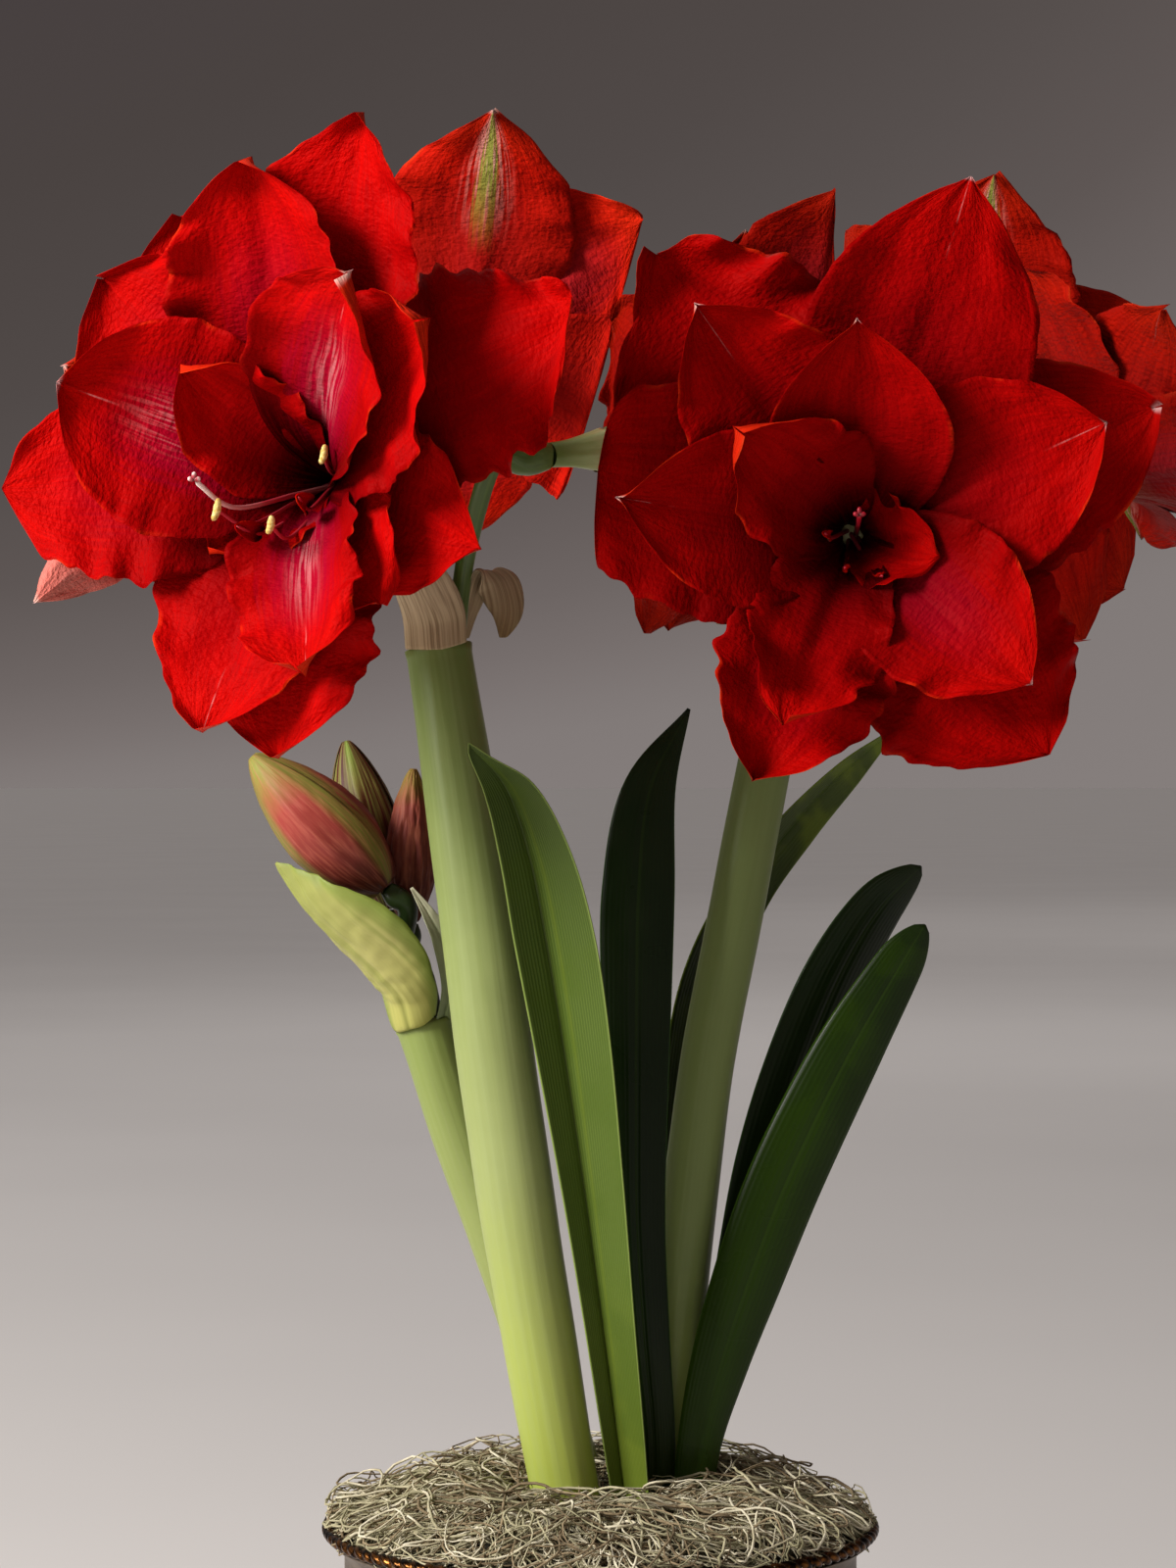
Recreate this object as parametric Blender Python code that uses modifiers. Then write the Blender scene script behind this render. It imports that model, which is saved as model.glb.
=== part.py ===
"""Amaryllis in a pot: double red blooms and a bud umbel on three scapes, strap leaves, moss and a metal pot.

Metres, +Z up. The origin is the centre of the pot's flat base, and the plant's front faces -Y.
"""

import math
import random
from dataclasses import dataclass

import bmesh
import bpy
from mathutils import Matrix, Vector

# Driving sizes. Everything round the pot follows from its rim, its height and its wall.
RIM_RADIUS = 0.1020
POT_HEIGHT = 0.1500
POT_WALL = 0.0012
ROPE_RADIUS = 0.0026
ROPE_BEADS = 42
BODY_RADIUS = 0.0935
FOOT_RADIUS = 0.0740
SOIL_TOP = 0.1180
BULB_RADIUS = 0.0520
BULB_NECK_RADIUS = 0.0370
BULB_TOP = 0.1400
MOSS_CROWN = 0.1660
SEAT_GAP = 0.0003
POT_SIDES = 28
MOSS_SIDES = 22
WALL_ROWS = (0.003, 0.036, 0.085, SOIL_TOP)

# Where the bulb's neck stands in the pot: the scapes and leaves all rise from it.
NECK_X = 0.006
NECK_Y = 0.005

PETAL_THICKNESS = 0.0007
LAYER_STEP = 1.5
LEAF_THICKNESS = 0.0016
BRACT_THICKNESS = 0.0008

# A bloom's tube reaches this far back from its throat, and this wide at its two ends.
TUBE_LENGTH = 0.026
TUBE_RADIUS = 0.0045
THROAT_RADIUS = 0.0090
OVARY_RADIUS = 0.0062
OVARY_LENGTH = 0.018
PEDICEL_RADIUS = 0.0034

# Blooms crowd each other: a petal bends clear of the plane halfway to each neighbour.
SITE_AHEAD = 0.020
BEND_DEPTH = 0.014
LEAST_GAP = 0.0010


@dataclass(frozen=True)
class Petal:
    """One tepal. clock is in degrees, seen from the front. depth counts the layers behind it."""

    clock: float
    reach: float
    width: float
    depth: float
    cup: float = 0.25
    fold: float = 0.10
    wave: float = 0.30
    lean: float = 0.0
    curl: float = 0.0
    sway: float = 0.0


@dataclass(frozen=True)
class Bloom:
    """One flower: its throat, the way it faces, its stalk's foot, its petals and its share of the room."""

    name: str
    throat: tuple
    axis: tuple
    foot: tuple
    petals: tuple
    room: float = 1.0
    columns: int = 4
    rows: int = 4
    stamens: int = 3


@dataclass(frozen=True)
class Blade:
    """A leaf or bract: its centre line from the base to the tip, with the half width at each point."""

    name: str
    points: tuple
    half_widths: tuple
    facing: tuple
    channel: float
    thickness: float
    rows: int
    columns: int = 4


def mm(*values):
    """Millimetres as a vector in metres."""
    return Vector(values) / 1000


def clear_scene():
    for old in list(bpy.data.objects):
        bpy.data.objects.remove(old)


def material(name, colour, roughness, metallic=0.0):
    made = bpy.data.materials.new(name)
    made.use_nodes = True
    shader = made.node_tree.nodes["Principled BSDF"]
    shader.inputs["Base Color"].default_value = (*colour, 1)
    shader.inputs["Roughness"].default_value = roughness
    shader.inputs["Metallic"].default_value = metallic
    return made


def add_object(name, data, finish, collection):
    made = bpy.data.objects.new(name, data)
    if finish:
        data.materials.append(finish)
    collection.objects.link(made)
    return made


def evaluated_mesh(obj, weld=0.00001):
    """The mesh that an object's curve or modifiers make, welded shut."""
    bpy.context.view_layer.update()
    graph = bpy.context.evaluated_depsgraph_get()
    mesh = bpy.data.meshes.new_from_object(obj.evaluated_get(graph))
    shape = bmesh.new()
    shape.from_mesh(mesh)
    bmesh.ops.remove_doubles(shape, verts=shape.verts, dist=weld)
    shape.to_mesh(mesh)
    shape.free()
    return mesh


def as_mesh_object(obj):
    """Replaces a curve or a modified object with a plain mesh object of the same name and place."""
    mesh, matrix = evaluated_mesh(obj), obj.matrix_world.copy()
    name, collection = obj.name, obj.users_collection[0]
    bpy.data.objects.remove(obj)
    made = add_object(name, mesh, None, collection)
    made.matrix_world = matrix
    return made


def turned(name, profile, steps, finish, collection):
    """A shape turned round Z. The profile runs from the axis to the axis, down its outer side."""
    mesh = bpy.data.meshes.new(name)
    points = [(radius, 0, height) for radius, height in profile]
    mesh.from_pydata(points, [(i, i + 1) for i in range(len(points) - 1)], [])
    made = add_object(name, mesh, finish, collection)
    screw = made.modifiers.new("turn", "SCREW")
    screw.axis = "Z"
    screw.steps = screw.render_steps = steps
    screw.use_merge_vertices = True
    screw.merge_threshold = 0.00001
    return made


def spline_value(values, at):
    """A smooth curve through evenly spaced numbers or vectors, read at a share of its length."""
    spans = len(values) - 1
    place = min(max(at, 0.0), 1.0) * spans
    i = min(int(place), spans - 1)
    f = place - i
    p1, p2 = values[i], values[i + 1]
    p0 = values[i - 1] if i > 0 else p1 * 2 - p2
    p3 = values[i + 2] if i + 2 <= spans else p2 * 2 - p1
    return (
        p1
        + (p2 - p0) * (f / 2)
        + (p0 * 2 - p1 * 5 + p2 * 4 - p3) * (f * f / 2)
        + (p1 * 3 - p0 - p2 * 3 + p3) * (f * f * f / 2)
    )


def tube(name, points, radii, stations, sides_step, finish, collection, level_top=False, root=0.0):
    """A round stalk along a smooth line, with a radius at each point. It starts upright on a level end."""
    shares = [i / (stations - 1) for i in range(stations)]
    line = [(spline_value(points, share), spline_value(radii, share)) for share in shares]
    line.insert(1, (line[0][0] + Vector((0, 0, 0.0015)), line[0][1]))
    if level_top:
        line.insert(-1, (line[-1][0] - Vector((0, 0, 0.0015)), line[-1][1]))
    if root:
        line.insert(0, (line[0][0] - Vector((0, 0, root)), line[0][1]))
    curve = bpy.data.curves.new(name, "CURVE")
    curve.dimensions = "3D"
    curve.bevel_depth = 1.0
    curve.bevel_resolution = sides_step
    curve.use_fill_caps = True
    spline = curve.splines.new("POLY")
    spline.points.add(len(line) - 1)
    for knot, (centre, radius) in zip(spline.points, line):
        knot.co = (*centre, 1)
        knot.radius = radius
    return add_object(name, curve, finish, collection)


def sheet_mesh(name, columns, rows, place):
    """A flat grid bent to a surface: place(s, t) has s along it from 0 to 1, and t across it from -1 to 1."""
    shape = bmesh.new()
    bmesh.ops.create_grid(shape, x_segments=columns, y_segments=rows, size=0.5)
    for vertex in shape.verts:
        vertex.co = place(vertex.co.y + 0.5, vertex.co.x * 2)
    bmesh.ops.triangulate(shape, faces=shape.faces)
    mesh = bpy.data.meshes.new(name)
    shape.to_mesh(mesh)
    shape.free()
    return mesh


def thicken(obj, thickness):
    solid = obj.modifiers.new("thickness", "SOLIDIFY")
    solid.thickness = thickness
    solid.offset = 0


def fuse(name, pieces, finish, collection):
    """Joins overlapping mesh pieces in one closed body."""
    group = bpy.data.collections.new(name + "_pieces")
    bpy.context.scene.collection.children.link(group)
    base = pieces[0]
    for piece in pieces[1:]:
        for old in list(piece.users_collection):
            old.objects.unlink(piece)
        group.objects.link(piece)
    join = base.modifiers.new("join", "BOOLEAN")
    join.operation = "UNION"
    join.operand_type = "COLLECTION"
    join.collection = group
    join.solver = "MANIFOLD"
    mesh = evaluated_mesh(base, 0.0000005)
    for piece in pieces:
        bpy.data.objects.remove(piece)
    bpy.data.collections.remove(group)
    mesh.materials.clear()
    made = add_object(name, mesh, finish, collection)
    keep_largest_body(made)
    return made


def keep_largest_body(obj):
    """Drops loose scraps that a cut leaves, by keeping the connected piece with the most faces."""
    shape = bmesh.new()
    shape.from_mesh(obj.data)
    left, bodies = set(shape.verts), []
    while left:
        body, todo = set(), [left.pop()]
        while todo:
            vertex = todo.pop()
            body.add(vertex)
            near = {edge.other_vert(vertex) for edge in vertex.link_edges} & left
            left -= near
            todo.extend(near)
        bodies.append(body)
    largest = max(bodies, key=len)
    scraps = [vertex for vertex in shape.verts if vertex not in largest]
    bmesh.ops.delete(shape, geom=scraps, context="VERTS")
    shape.to_mesh(obj.data)
    shape.free()


def cut(obj, cutters):
    """Takes the cutters' shapes out of a mesh object, for good."""
    for cutter in cutters:
        hole = obj.modifiers.new("cut_" + cutter.name, "BOOLEAN")
        hole.operation = "DIFFERENCE"
        hole.object = cutter
        hole.solver = "EXACT"
    mesh = evaluated_mesh(obj)
    obj.modifiers.clear()
    obj.data = mesh
    for cutter in cutters:
        bpy.data.objects.remove(cutter)


def wall_radius(height):
    """The pot's outer radius: a plain, gently tapered body under a flared lip."""
    belly = FOOT_RADIUS + (BODY_RADIUS - FOOT_RADIUS) * min(height / 0.125, 1.0) ** 0.55
    flare = max(0.0, (height - 0.138) / 0.008)
    return belly + 0.0085 * flare**1.5


def make_pot(finish, collection):
    lip_top = POT_HEIGHT - 2 * ROPE_RADIUS - SEAT_GAP
    heights = [*WALL_ROWS, 0.138, 0.1415, lip_top]
    outer = [(wall_radius(z), z) for z in reversed(heights)]
    inner = [(radius - POT_WALL, z) for radius, z in reversed(outer)]
    foot = [(FOOT_RADIUS - 0.003, 0), (0, 0)]
    return turned("pot", [(0, WALL_ROWS[0]), *inner, *outer, *foot], POT_SIDES, finish, collection)


def make_rope_rim(finish, collection):
    """A rope-twist edge: a ring whose section swells and turns from bead to bead."""
    shape = bmesh.new()
    sections, sides = 2 * ROPE_BEADS, 5
    ring_radius = RIM_RADIUS - ROPE_RADIUS
    bmesh.ops.create_circle(shape, radius=ROPE_RADIUS, segments=sides)
    turn = Matrix.Rotation(math.pi / 2, 4, "X")
    move = Matrix.Translation((ring_radius, 0, POT_HEIGHT - ROPE_RADIUS))
    bmesh.ops.transform(shape, matrix=move @ turn, verts=shape.verts)
    bmesh.ops.spin(
        shape,
        geom=shape.verts[:] + shape.edges[:],
        axis=(0, 0, 1),
        cent=(0, 0, 0),
        steps=sections,
        angle=2 * math.pi,
        use_merge=True,
    )
    bmesh.ops.remove_doubles(shape, verts=shape.verts, dist=0.00001)
    for vertex in shape.verts:
        around = math.atan2(vertex.co.y, vertex.co.x)
        centre = Vector((math.cos(around), math.sin(around), 0)) * ring_radius
        centre.z = POT_HEIGHT - ROPE_RADIUS
        spoke = vertex.co - centre
        section = round(around / (2 * math.pi) * sections)
        swell = 1.0 if section % 2 else 0.76
        vertex.co = centre + spoke * swell
    bmesh.ops.recalc_face_normals(shape, faces=shape.faces)
    mesh = bpy.data.meshes.new("pot_rope_rim")
    shape.to_mesh(mesh)
    shape.free()
    return add_object("pot_rope_rim", mesh, finish, collection)


def bulb_profile(grow=0.0):
    """The bulb from its flat neck to its basal plate. grow makes the cavity that it lies in."""
    points = [
        (0, BULB_TOP + grow),
        (BULB_NECK_RADIUS + grow, BULB_TOP + grow),
        (BULB_NECK_RADIUS + 0.003 + grow, BULB_TOP - 0.008),
        (BULB_RADIUS - 0.003 + grow, 0.116),
        (BULB_RADIUS + grow, 0.098),
        (BULB_RADIUS - 0.004 + grow, 0.080),
        (0.034 + grow, 0.064),
        (0.016 + grow, 0.058 - grow),
        (0, 0.058 - grow),
    ]
    return points


def make_bulb(finish, collection):
    bulb = turned("bulb", bulb_profile(), 16, finish, collection)
    bulb.location = (NECK_X, NECK_Y, 0)
    return bulb


def make_soil(finish, collection):
    gap = SEAT_GAP + POT_WALL
    heights = [WALL_ROWS[0] + SEAT_GAP, *WALL_ROWS[1:]]
    outer = [(wall_radius(z) - gap - 0.0002, z) for z in reversed(heights)]
    soil = turned("soil", [(0, SOIL_TOP), *outer, (0, heights[0])], POT_SIDES, finish, collection)
    soil = as_mesh_object(soil)
    cavity = turned("bulb_cavity", bulb_profile(0.0005), 16, None, collection)
    cavity.location = (NECK_X, NECK_Y, 0)
    cut(soil, [as_mesh_object(cavity)])
    return soil


def moss_height(radius):
    """The moss mound's crown, falling ever steeper to the rim."""
    share = radius / (RIM_RADIUS - 0.006)
    return MOSS_CROWN - 0.0165 * share**2.6


def make_moss(holes, finish, collection):
    """A lumpy mound of moss on the soil, with a plain hole for the bulb's neck, each scape and each leaf."""
    low = SOIL_TOP + SEAT_GAP
    inside = BODY_RADIUS - POT_WALL - 0.0017
    radii = [0.0, 0.022, 0.042, 0.060, 0.076, 0.088]
    edge = [(RIM_RADIUS - 0.0085, POT_HEIGHT - 0.0045), (inside, 0.1380), (inside, low), (0, low)]
    top = [(radius, moss_height(radius)) for radius in radii]
    moss = as_mesh_object(turned("moss", [*top, *edge], MOSS_SIDES, finish, collection))
    draw = random.Random(7)
    turn = 2 * math.pi
    ripples = [(draw.uniform(70, 240), draw.uniform(0, turn), draw.uniform(0, turn)) for _ in range(9)]
    for vertex in moss.data.vertices:
        x, y, z = vertex.co
        if z < POT_HEIGHT - 0.004:
            continue
        lump = sum(
            math.sin(pitch * (x * math.cos(way) + y * math.sin(way)) + phase) / pitch
            for pitch, way, phase in ripples
        )
        vertex.co.z = z + 0.07 * lump
    cavity = turned("neck_cavity", bulb_profile(0.0005), 16, None, collection)
    cavity.location = (NECK_X, NECK_Y, 0)
    cut(moss, [as_mesh_object(cavity), *holes])
    keep_largest_body(moss)
    moss.data.materials.clear()
    moss.data.materials.append(finish)
    return moss


SCAPES = {
    "scape_left": (
        (
            mm(-9, -10, 140.3), mm(-24.5, -14, 230), mm(-37, -14.5, 312),
            mm(-46.5, -10, 384), mm(-59.8, 0, 471.5),
        ),
        (0.0118, 0.0132, 0.0139, 0.0135, 0.0116),
    ),
    "scape_right": (
        (mm(20.5, 13.5, 140.3), mm(28.5, 15, 222), mm(39, 16, 311), mm(52.5, 18, 382), mm(71, 22, 478)),
        (0.0100, 0.0100, 0.0098, 0.0098, 0.0094),
    ),
    "scape_bud": (
        (mm(-1.5, 25, 140.3), mm(-18, 27.5, 188), mm(-34, 29, 235), mm(-51, 30.5, 282), mm(-66.5, 32, 330.4)),
        (0.0092, 0.0094, 0.0096, 0.0098, 0.0104),
    ),
}
SCAPE_STATIONS = {"scape_left": 9, "scape_right": 8, "scape_bud": 6}


def make_scape(name, finish, collection, grow=0.0):
    points, radii = SCAPES[name]
    wide = [radius + grow for radius in radii]
    return tube(name, points, wide, SCAPE_STATIONS[name], 3, finish, collection, True, 10 * grow)


LEAVES = (
    Blade(
        "leaf_front",
        (
            mm(13, -8.5, 140.3), mm(9.2, -11, 176), mm(3, -17, 230), mm(-2.5, -19, 277), mm(-8.8, -20, 326),
            mm(-14.8, -22, 365), mm(-21, -26, 394), mm(-31, -31, 419), mm(-47, -36, 433),
        ),
        (0.0062, 0.0082, 0.0105, 0.0130, 0.0158, 0.0170, 0.0155, 0.0110, 0.0006),
        (0, -12),
        0.42,
        LEAF_THICKNESS,
        9,
    ),
    Blade(
        "leaf_centre",
        (
            mm(18.5, -0.5, 140.3), mm(19.5, -1.5, 176), mm(16, -3.5, 216), mm(13.4, -4, 257), mm(13, -4, 300),
            mm(13.2, -3, 342), mm(14, -2, 380), mm(18, 0, 416), mm(32.5, 3, 446),
        ),
        (0.0075, 0.0080, 0.0095, 0.0105, 0.0118, 0.0132, 0.0136, 0.0105, 0.0006),
        (-4, 6),
        -0.16,
        LEAF_THICKNESS,
        8,
    ),
    Blade(
        "leaf_back",
        (
            mm(19, 29.5, 140.3), mm(26, 31, 172), mm(28, 33, 228), mm(30, 36, 283), mm(37, 38, 338),
            mm(53, 39, 376), mm(73, 40, 403), mm(94, 40, 425), mm(113.5, 40, 441),
        ),
        (0.0070, 0.0080, 0.0095, 0.0105, 0.0110, 0.0108, 0.0100, 0.0075, 0.0006),
        (8, 38),
        0.30,
        LEAF_THICKNESS,
        8,
    ),
    Blade(
        "leaf_right_rear",
        (
            mm(35, 9.5, 140.3), mm(39, 11, 173), mm(45.5, 12.5, 206), mm(54, 14, 242), mm(63, 16, 277),
            mm(74, 18, 311), mm(88, 20, 345), mm(103, 20, 371), mm(119, 19, 388),
        ),
        (0.0065, 0.0080, 0.0105, 0.0130, 0.0150, 0.0152, 0.0142, 0.0100, 0.0008),
        (58, 14),
        0.24,
        LEAF_THICKNESS,
        8,
    ),
    Blade(
        "leaf_right_front",
        (
            mm(33, -5, 140.3), mm(36, -5, 175), mm(44, -4.5, 207), mm(54.5, -3.5, 238), mm(66, -2, 268),
            mm(78.5, -1, 295), mm(93, 0, 323), mm(108, 0, 349), mm(118.8, 0, 367),
        ),
        (0.0070, 0.0082, 0.0112, 0.0135, 0.0145, 0.0143, 0.0125, 0.0080, 0.0008),
        (8, 10),
        0.30,
        LEAF_THICKNESS,
        8,
    ),
)

BRACTS = (
    Blade(
        "spathe_left_near",
        (mm(-61.5, -10.9, 471.8), mm(-63, -14, 479), mm(-66, -17, 487), mm(-71, -20, 498), mm(-76, -24, 508)),
        (0.0102, 0.0112, 0.0102, 0.0070, 0.0010),
        (-4, -30),
        -0.42,
        BRACT_THICKNESS,
        5,
    ),
    Blade(
        "spathe_left_far",
        (mm(-50.6, 5.2, 471.8), mm(-44.4, 6, 483), mm(-39, 5, 498), mm(-32.5, 5, 496), mm(-34.5, 4, 476)),
        (0.0052, 0.0058, 0.0062, 0.0068, 0.0008),
        (115, -10),
        0.30,
        BRACT_THICKNESS,
        7,
        3,
    ),
    Blade(
        "spathe_right_near",
        (mm(77.4, 16.2, 478.3), mm(85, 13, 487), mm(91, 12, 492), mm(96, 11, 484), mm(96.5, 10, 468)),
        (0.0046, 0.0062, 0.0066, 0.0058, 0.0008),
        (45, 60),
        0.30,
        BRACT_THICKNESS,
        7,
        3,
    ),
    Blade(
        "spathe_right_far",
        (mm(65.2, 27.9, 478.3), mm(57, 31, 487), mm(51, 33, 489), mm(46, 35, 480), mm(44, 36, 464)),
        (0.0046, 0.0062, 0.0066, 0.0056, 0.0008),
        (-135, -120),
        0.30,
        BRACT_THICKNESS,
        7,
        3,
    ),
    Blade(
        "spathe_bud_valve",
        (
            mm(-70.0, 22.4, 330.7), mm(-75, 14, 340), mm(-83, 10, 350), mm(-95, 7, 361),
            mm(-108, 7, 374), mm(-120, 10, 389),
        ),
        (0.0096, 0.0150, 0.0205, 0.0215, 0.0150, 0.0008),
        (-22, -62),
        -0.50,
        BRACT_THICKNESS,
        7,
    ),
    Blade(
        "spathe_bud_inner",
        (mm(-58.6, 26.2, 330.7), mm(-55.8, 21.5, 344), mm(-58, 18.5, 358), mm(-63, 16, 369), mm(-70, 15, 380)),
        (0.0040, 0.0050, 0.0050, 0.0030, 0.0006),
        (40, 20),
        0.30,
        BRACT_THICKNESS,
        5,
        3,
    ),
)


def blade_place(blade, s, t, widen=0.0):
    """A point on a blade: its line, plus its width to the side, with the edges lifted to make a channel."""
    centre = spline_value(blade.points, s)
    ahead = spline_value(blade.points, min(s + 0.01, 1.0)) - spline_value(blade.points, max(s - 0.01, 0.0))
    ahead.normalize()
    turn = math.radians(blade.facing[0] + (blade.facing[1] - blade.facing[0]) * s)
    side = Vector((math.cos(turn), math.sin(turn), 0))
    side = (side - ahead * side.dot(ahead)).normalized()
    face = side.cross(ahead)
    half = spline_value(blade.half_widths, s) + widen
    lift = blade.channel * half * (0.45 * abs(t) + 0.55 * t * t)
    return centre + side * (half * t * (1 - 0.12 * abs(blade.channel) * t * t)) + face * lift


def make_blade(blade, finish, collection, grow=0.0):
    """A leaf or bract. grow makes the wider, longer-rooted shape that opens a hole for it."""

    def place(s, t):
        point = blade_place(blade, s, t, grow)
        if s < 0.001 and grow:
            return point + (point - blade_place(blade, 1 / blade.rows, t, grow)) * 0.2
        point.z = max(point.z, blade.points[0].z + SEAT_GAP + grow)
        return point

    sheet = sheet_mesh(blade.name, blade.columns, blade.rows, place)
    made = add_object(blade.name, sheet, finish, collection)
    thicken(made, blade.thickness + 2 * grow)
    return made


@dataclass(frozen=True)
class Bud:
    """A closed flower: its base and tip, its greatest radius, and the foot of its stalk."""

    name: str
    base: Vector
    tip: Vector
    radius: float
    foot: Vector


BUDS = (
    Bud("bud_left", mm(-80.2, 20, 380), mm(-129, 18, 428.6), 0.0160, mm(-69.8, 30, 330.8)),
    Bud("bud_rear", mm(-80.5, 49, 371), mm(-96.5, 53, 434.5), 0.0134, mm(-68.6, 37.4, 330.8)),
    Bud("bud_right", mm(-71.5, 33, 367), mm(-70, 34, 424), 0.0084, mm(-61.6, 31.5, 330.8)),
)


def make_bud(bud, finish, collection):
    """A bud with six overlapping tepals, as a sphere drawn out to a point and raised in six ribs."""
    shape = bmesh.new()
    bmesh.ops.create_uvsphere(shape, u_segments=12, v_segments=6, radius=1.0)
    line = bud.tip - bud.base
    turn = line.to_track_quat("Z", "Y").to_matrix()
    for vertex in shape.verts:
        along = (vertex.co.z + 1) / 2
        around = math.atan2(vertex.co.y, vertex.co.x)
        body = math.sin(math.pi * along**0.85) ** 0.75 if 0 < along < 1 else 0.0
        rib = 1 + 0.05 * math.cos(6 * around)
        flat = Vector((math.cos(around), math.sin(around), 0)) * (bud.radius * body * rib)
        vertex.co = bud.base + turn @ (flat + Vector((0, 0, along * line.length)))
    mesh = bpy.data.meshes.new(bud.name)
    shape.to_mesh(mesh)
    shape.free()
    return add_object(bud.name, mesh, finish, collection)


def make_bud_stalk(bud, finish, collection):
    """The stalk and young ovary that carry a bud, from the scape's top to just under the bud."""
    line = (bud.tip - bud.base).normalized()
    seat = bud.base - line * SEAT_GAP
    bend = bud.foot.lerp(seat, 0.4) + mm(0, 0, 2)
    points = (bud.foot, bend, seat - line * 0.012, seat - line * 0.005, seat)
    radii = (0.0030, 0.0032, 0.0042, 0.0050, 0.0026)
    return tube(bud.name + "_stalk", points, radii, 6, 1, finish, collection)


def whorls(turn, seed, scale=1.0, deeper=0.0):
    """The petals of a double bloom in four whorls, each bloom turned and varied by its own seed."""
    draw = random.Random(seed)
    layers = (
        (3, 0, 0.098, 0.076, 0.4, -0.004),
        (3, 60, 0.090, 0.070, 1.9, -0.002),
        (1, 20, 0.068, 0.056, 3.4, 0.004),
        (1, 200, 0.060, 0.052, 4.6, 0.004),
    )
    return tuple(
        Petal(
            clock=turn + first + 360 * i / count + draw.uniform(-6, 6),
            reach=scale * reach * draw.uniform(0.94, 1.06),
            width=scale * width * draw.uniform(0.94, 1.06),
            depth=depth + deeper,
            cup=0.15,
            wave=0.15,
            lean=draw.uniform(-0.12, 0.12),
            curl=curl,
            sway=draw.uniform(-0.004, 0.004),
        )
        for count, first, reach, width, depth, curl in layers
        for i in range(count)
    )


LEFT_FRONT_PETALS = (
    Petal(60, 0.124, 0.084, 1.0, curl=-0.004),
    Petal(328, 0.106, 0.080, 1.2, curl=-0.006),
    Petal(109, 0.083, 0.060, 1.8, curl=-0.006),
    Petal(188, 0.099, 0.074, 2.0),
    Petal(309, 0.108, 0.084, 2.2),
    Petal(18, 0.122, 0.078, 2.3, fold=0.4),
    Petal(266, 0.105, 0.074, 2.8),
    Petal(113, 0.070, 0.056, 3.2, wave=0.6),
    Petal(355, 0.092, 0.070, 3.4, fold=0.8),
    Petal(30, 0.080, 0.062, 3.6),
    Petal(52, 0.084, 0.060, 4.2, cup=0.6),
    Petal(162, 0.076, 0.056, 4.0, wave=0.6, fold=0.5),
    Petal(290, 0.096, 0.078, 4.4, cup=0.6),
    Petal(238, 0.056, 0.046, 6.0, cup=0.6),
    Petal(304, 0.060, 0.054, 6.2, cup=0.9),
)

RIGHT_FRONT_PETALS = (
    Petal(322, 0.128, 0.086, 1.0, curl=-0.005),
    Petal(72, 0.115, 0.076, 1.0, curl=-0.004),
    Petal(141, 0.096, 0.076, 1.6),
    Petal(277, 0.106, 0.080, 2.0),
    Petal(17, 0.126, 0.080, 2.1, curl=-0.004),
    Petal(204, 0.090, 0.062, 2.6, fold=0.6),
    Petal(324, 0.096, 0.062, 3.0, fold=0.5),
    Petal(65, 0.090, 0.068, 3.4, cup=0.5),
    Petal(279, 0.083, 0.062, 4.0, cup=0.5),
    Petal(129, 0.078, 0.062, 4.0, cup=0.5),
    Petal(206, 0.067, 0.054, 4.4, wave=0.7),
    Petal(358, 0.072, 0.066, 4.8, cup=0.6),
    Petal(308, 0.058, 0.060, 5.8, cup=0.8, wave=0.5),
    Petal(128, 0.036, 0.040, 6.2, cup=1.1),
)

LEFT_RIGHT_PETALS = whorls(36, 33, 0.66)
LEFT_SIDE_PETALS = (*whorls(8, 45, 0.76), Petal(132, 0.086, 0.056, 4.9, cup=0.4))

BLOOMS = (
    Bloom(
        "bloom_left_front",
        (-92, -52, 525),
        (-0.42, -0.90, 0.05),
        (-61, -5.8, 471.9),
        LEFT_FRONT_PETALS,
        1.3,
        4,
        5,
        6,
    ),
    Bloom("bloom_left_back", (-53, 60, 581), (0.08, 0.93, 0.34), (-60.5, 7, 471.9), whorls(116, 21, 0.94)),
    Bloom("bloom_left_right", (3, 4, 541), (0.82, 0.55, 0.12), (-52.8, -0.5, 471.9), LEFT_RIGHT_PETALS, 0.7),
    Bloom("bloom_left_side", (-127, 44, 546), (-0.66, 0.74, -0.10), (-67.4, 1.5, 471.9), LEFT_SIDE_PETALS),
    Bloom(
        "bloom_right_front",
        (88.5, -50, 506.5),
        (0.00, -0.99, -0.08),
        (71.2, 16.8, 478.4),
        RIGHT_FRONT_PETALS,
        1.4,
        4,
        5,
        6,
    ),
    Bloom("bloom_right_side", (172, 26, 524), (0.74, 0.20, 0.64), (76.4, 22, 478.4), whorls(2, 57, 0.84, 3.0)),
    Bloom("bloom_right_rear", (130, 92, 558), (0.36, 0.86, 0.30), (71.2, 27.2, 478.4), whorls(-8, 69, 1.04)),
    Bloom("bloom_right_back", (68, 80, 552), (-0.20, 0.92, 0.32), (66, 22, 478.4), whorls(340, 81, 1.02)),
)

# The blooms also bend clear of the buds, which stand about here.
BUD_SITE = (mm(-118, 30, 392), 1.0)


def bloom_frame(bloom):
    """The bloom's right, up and forward directions, as seen by someone who looks into it."""
    forward = Vector(bloom.axis).normalized()
    right = (-forward).cross(Vector((0, 0, 1))).normalized()
    up = right.cross(-forward)
    return right, up, forward


def bloom_site(bloom):
    forward = bloom_frame(bloom)[2]
    return mm(*bloom.throat) + forward * SITE_AHEAD, bloom.room


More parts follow.
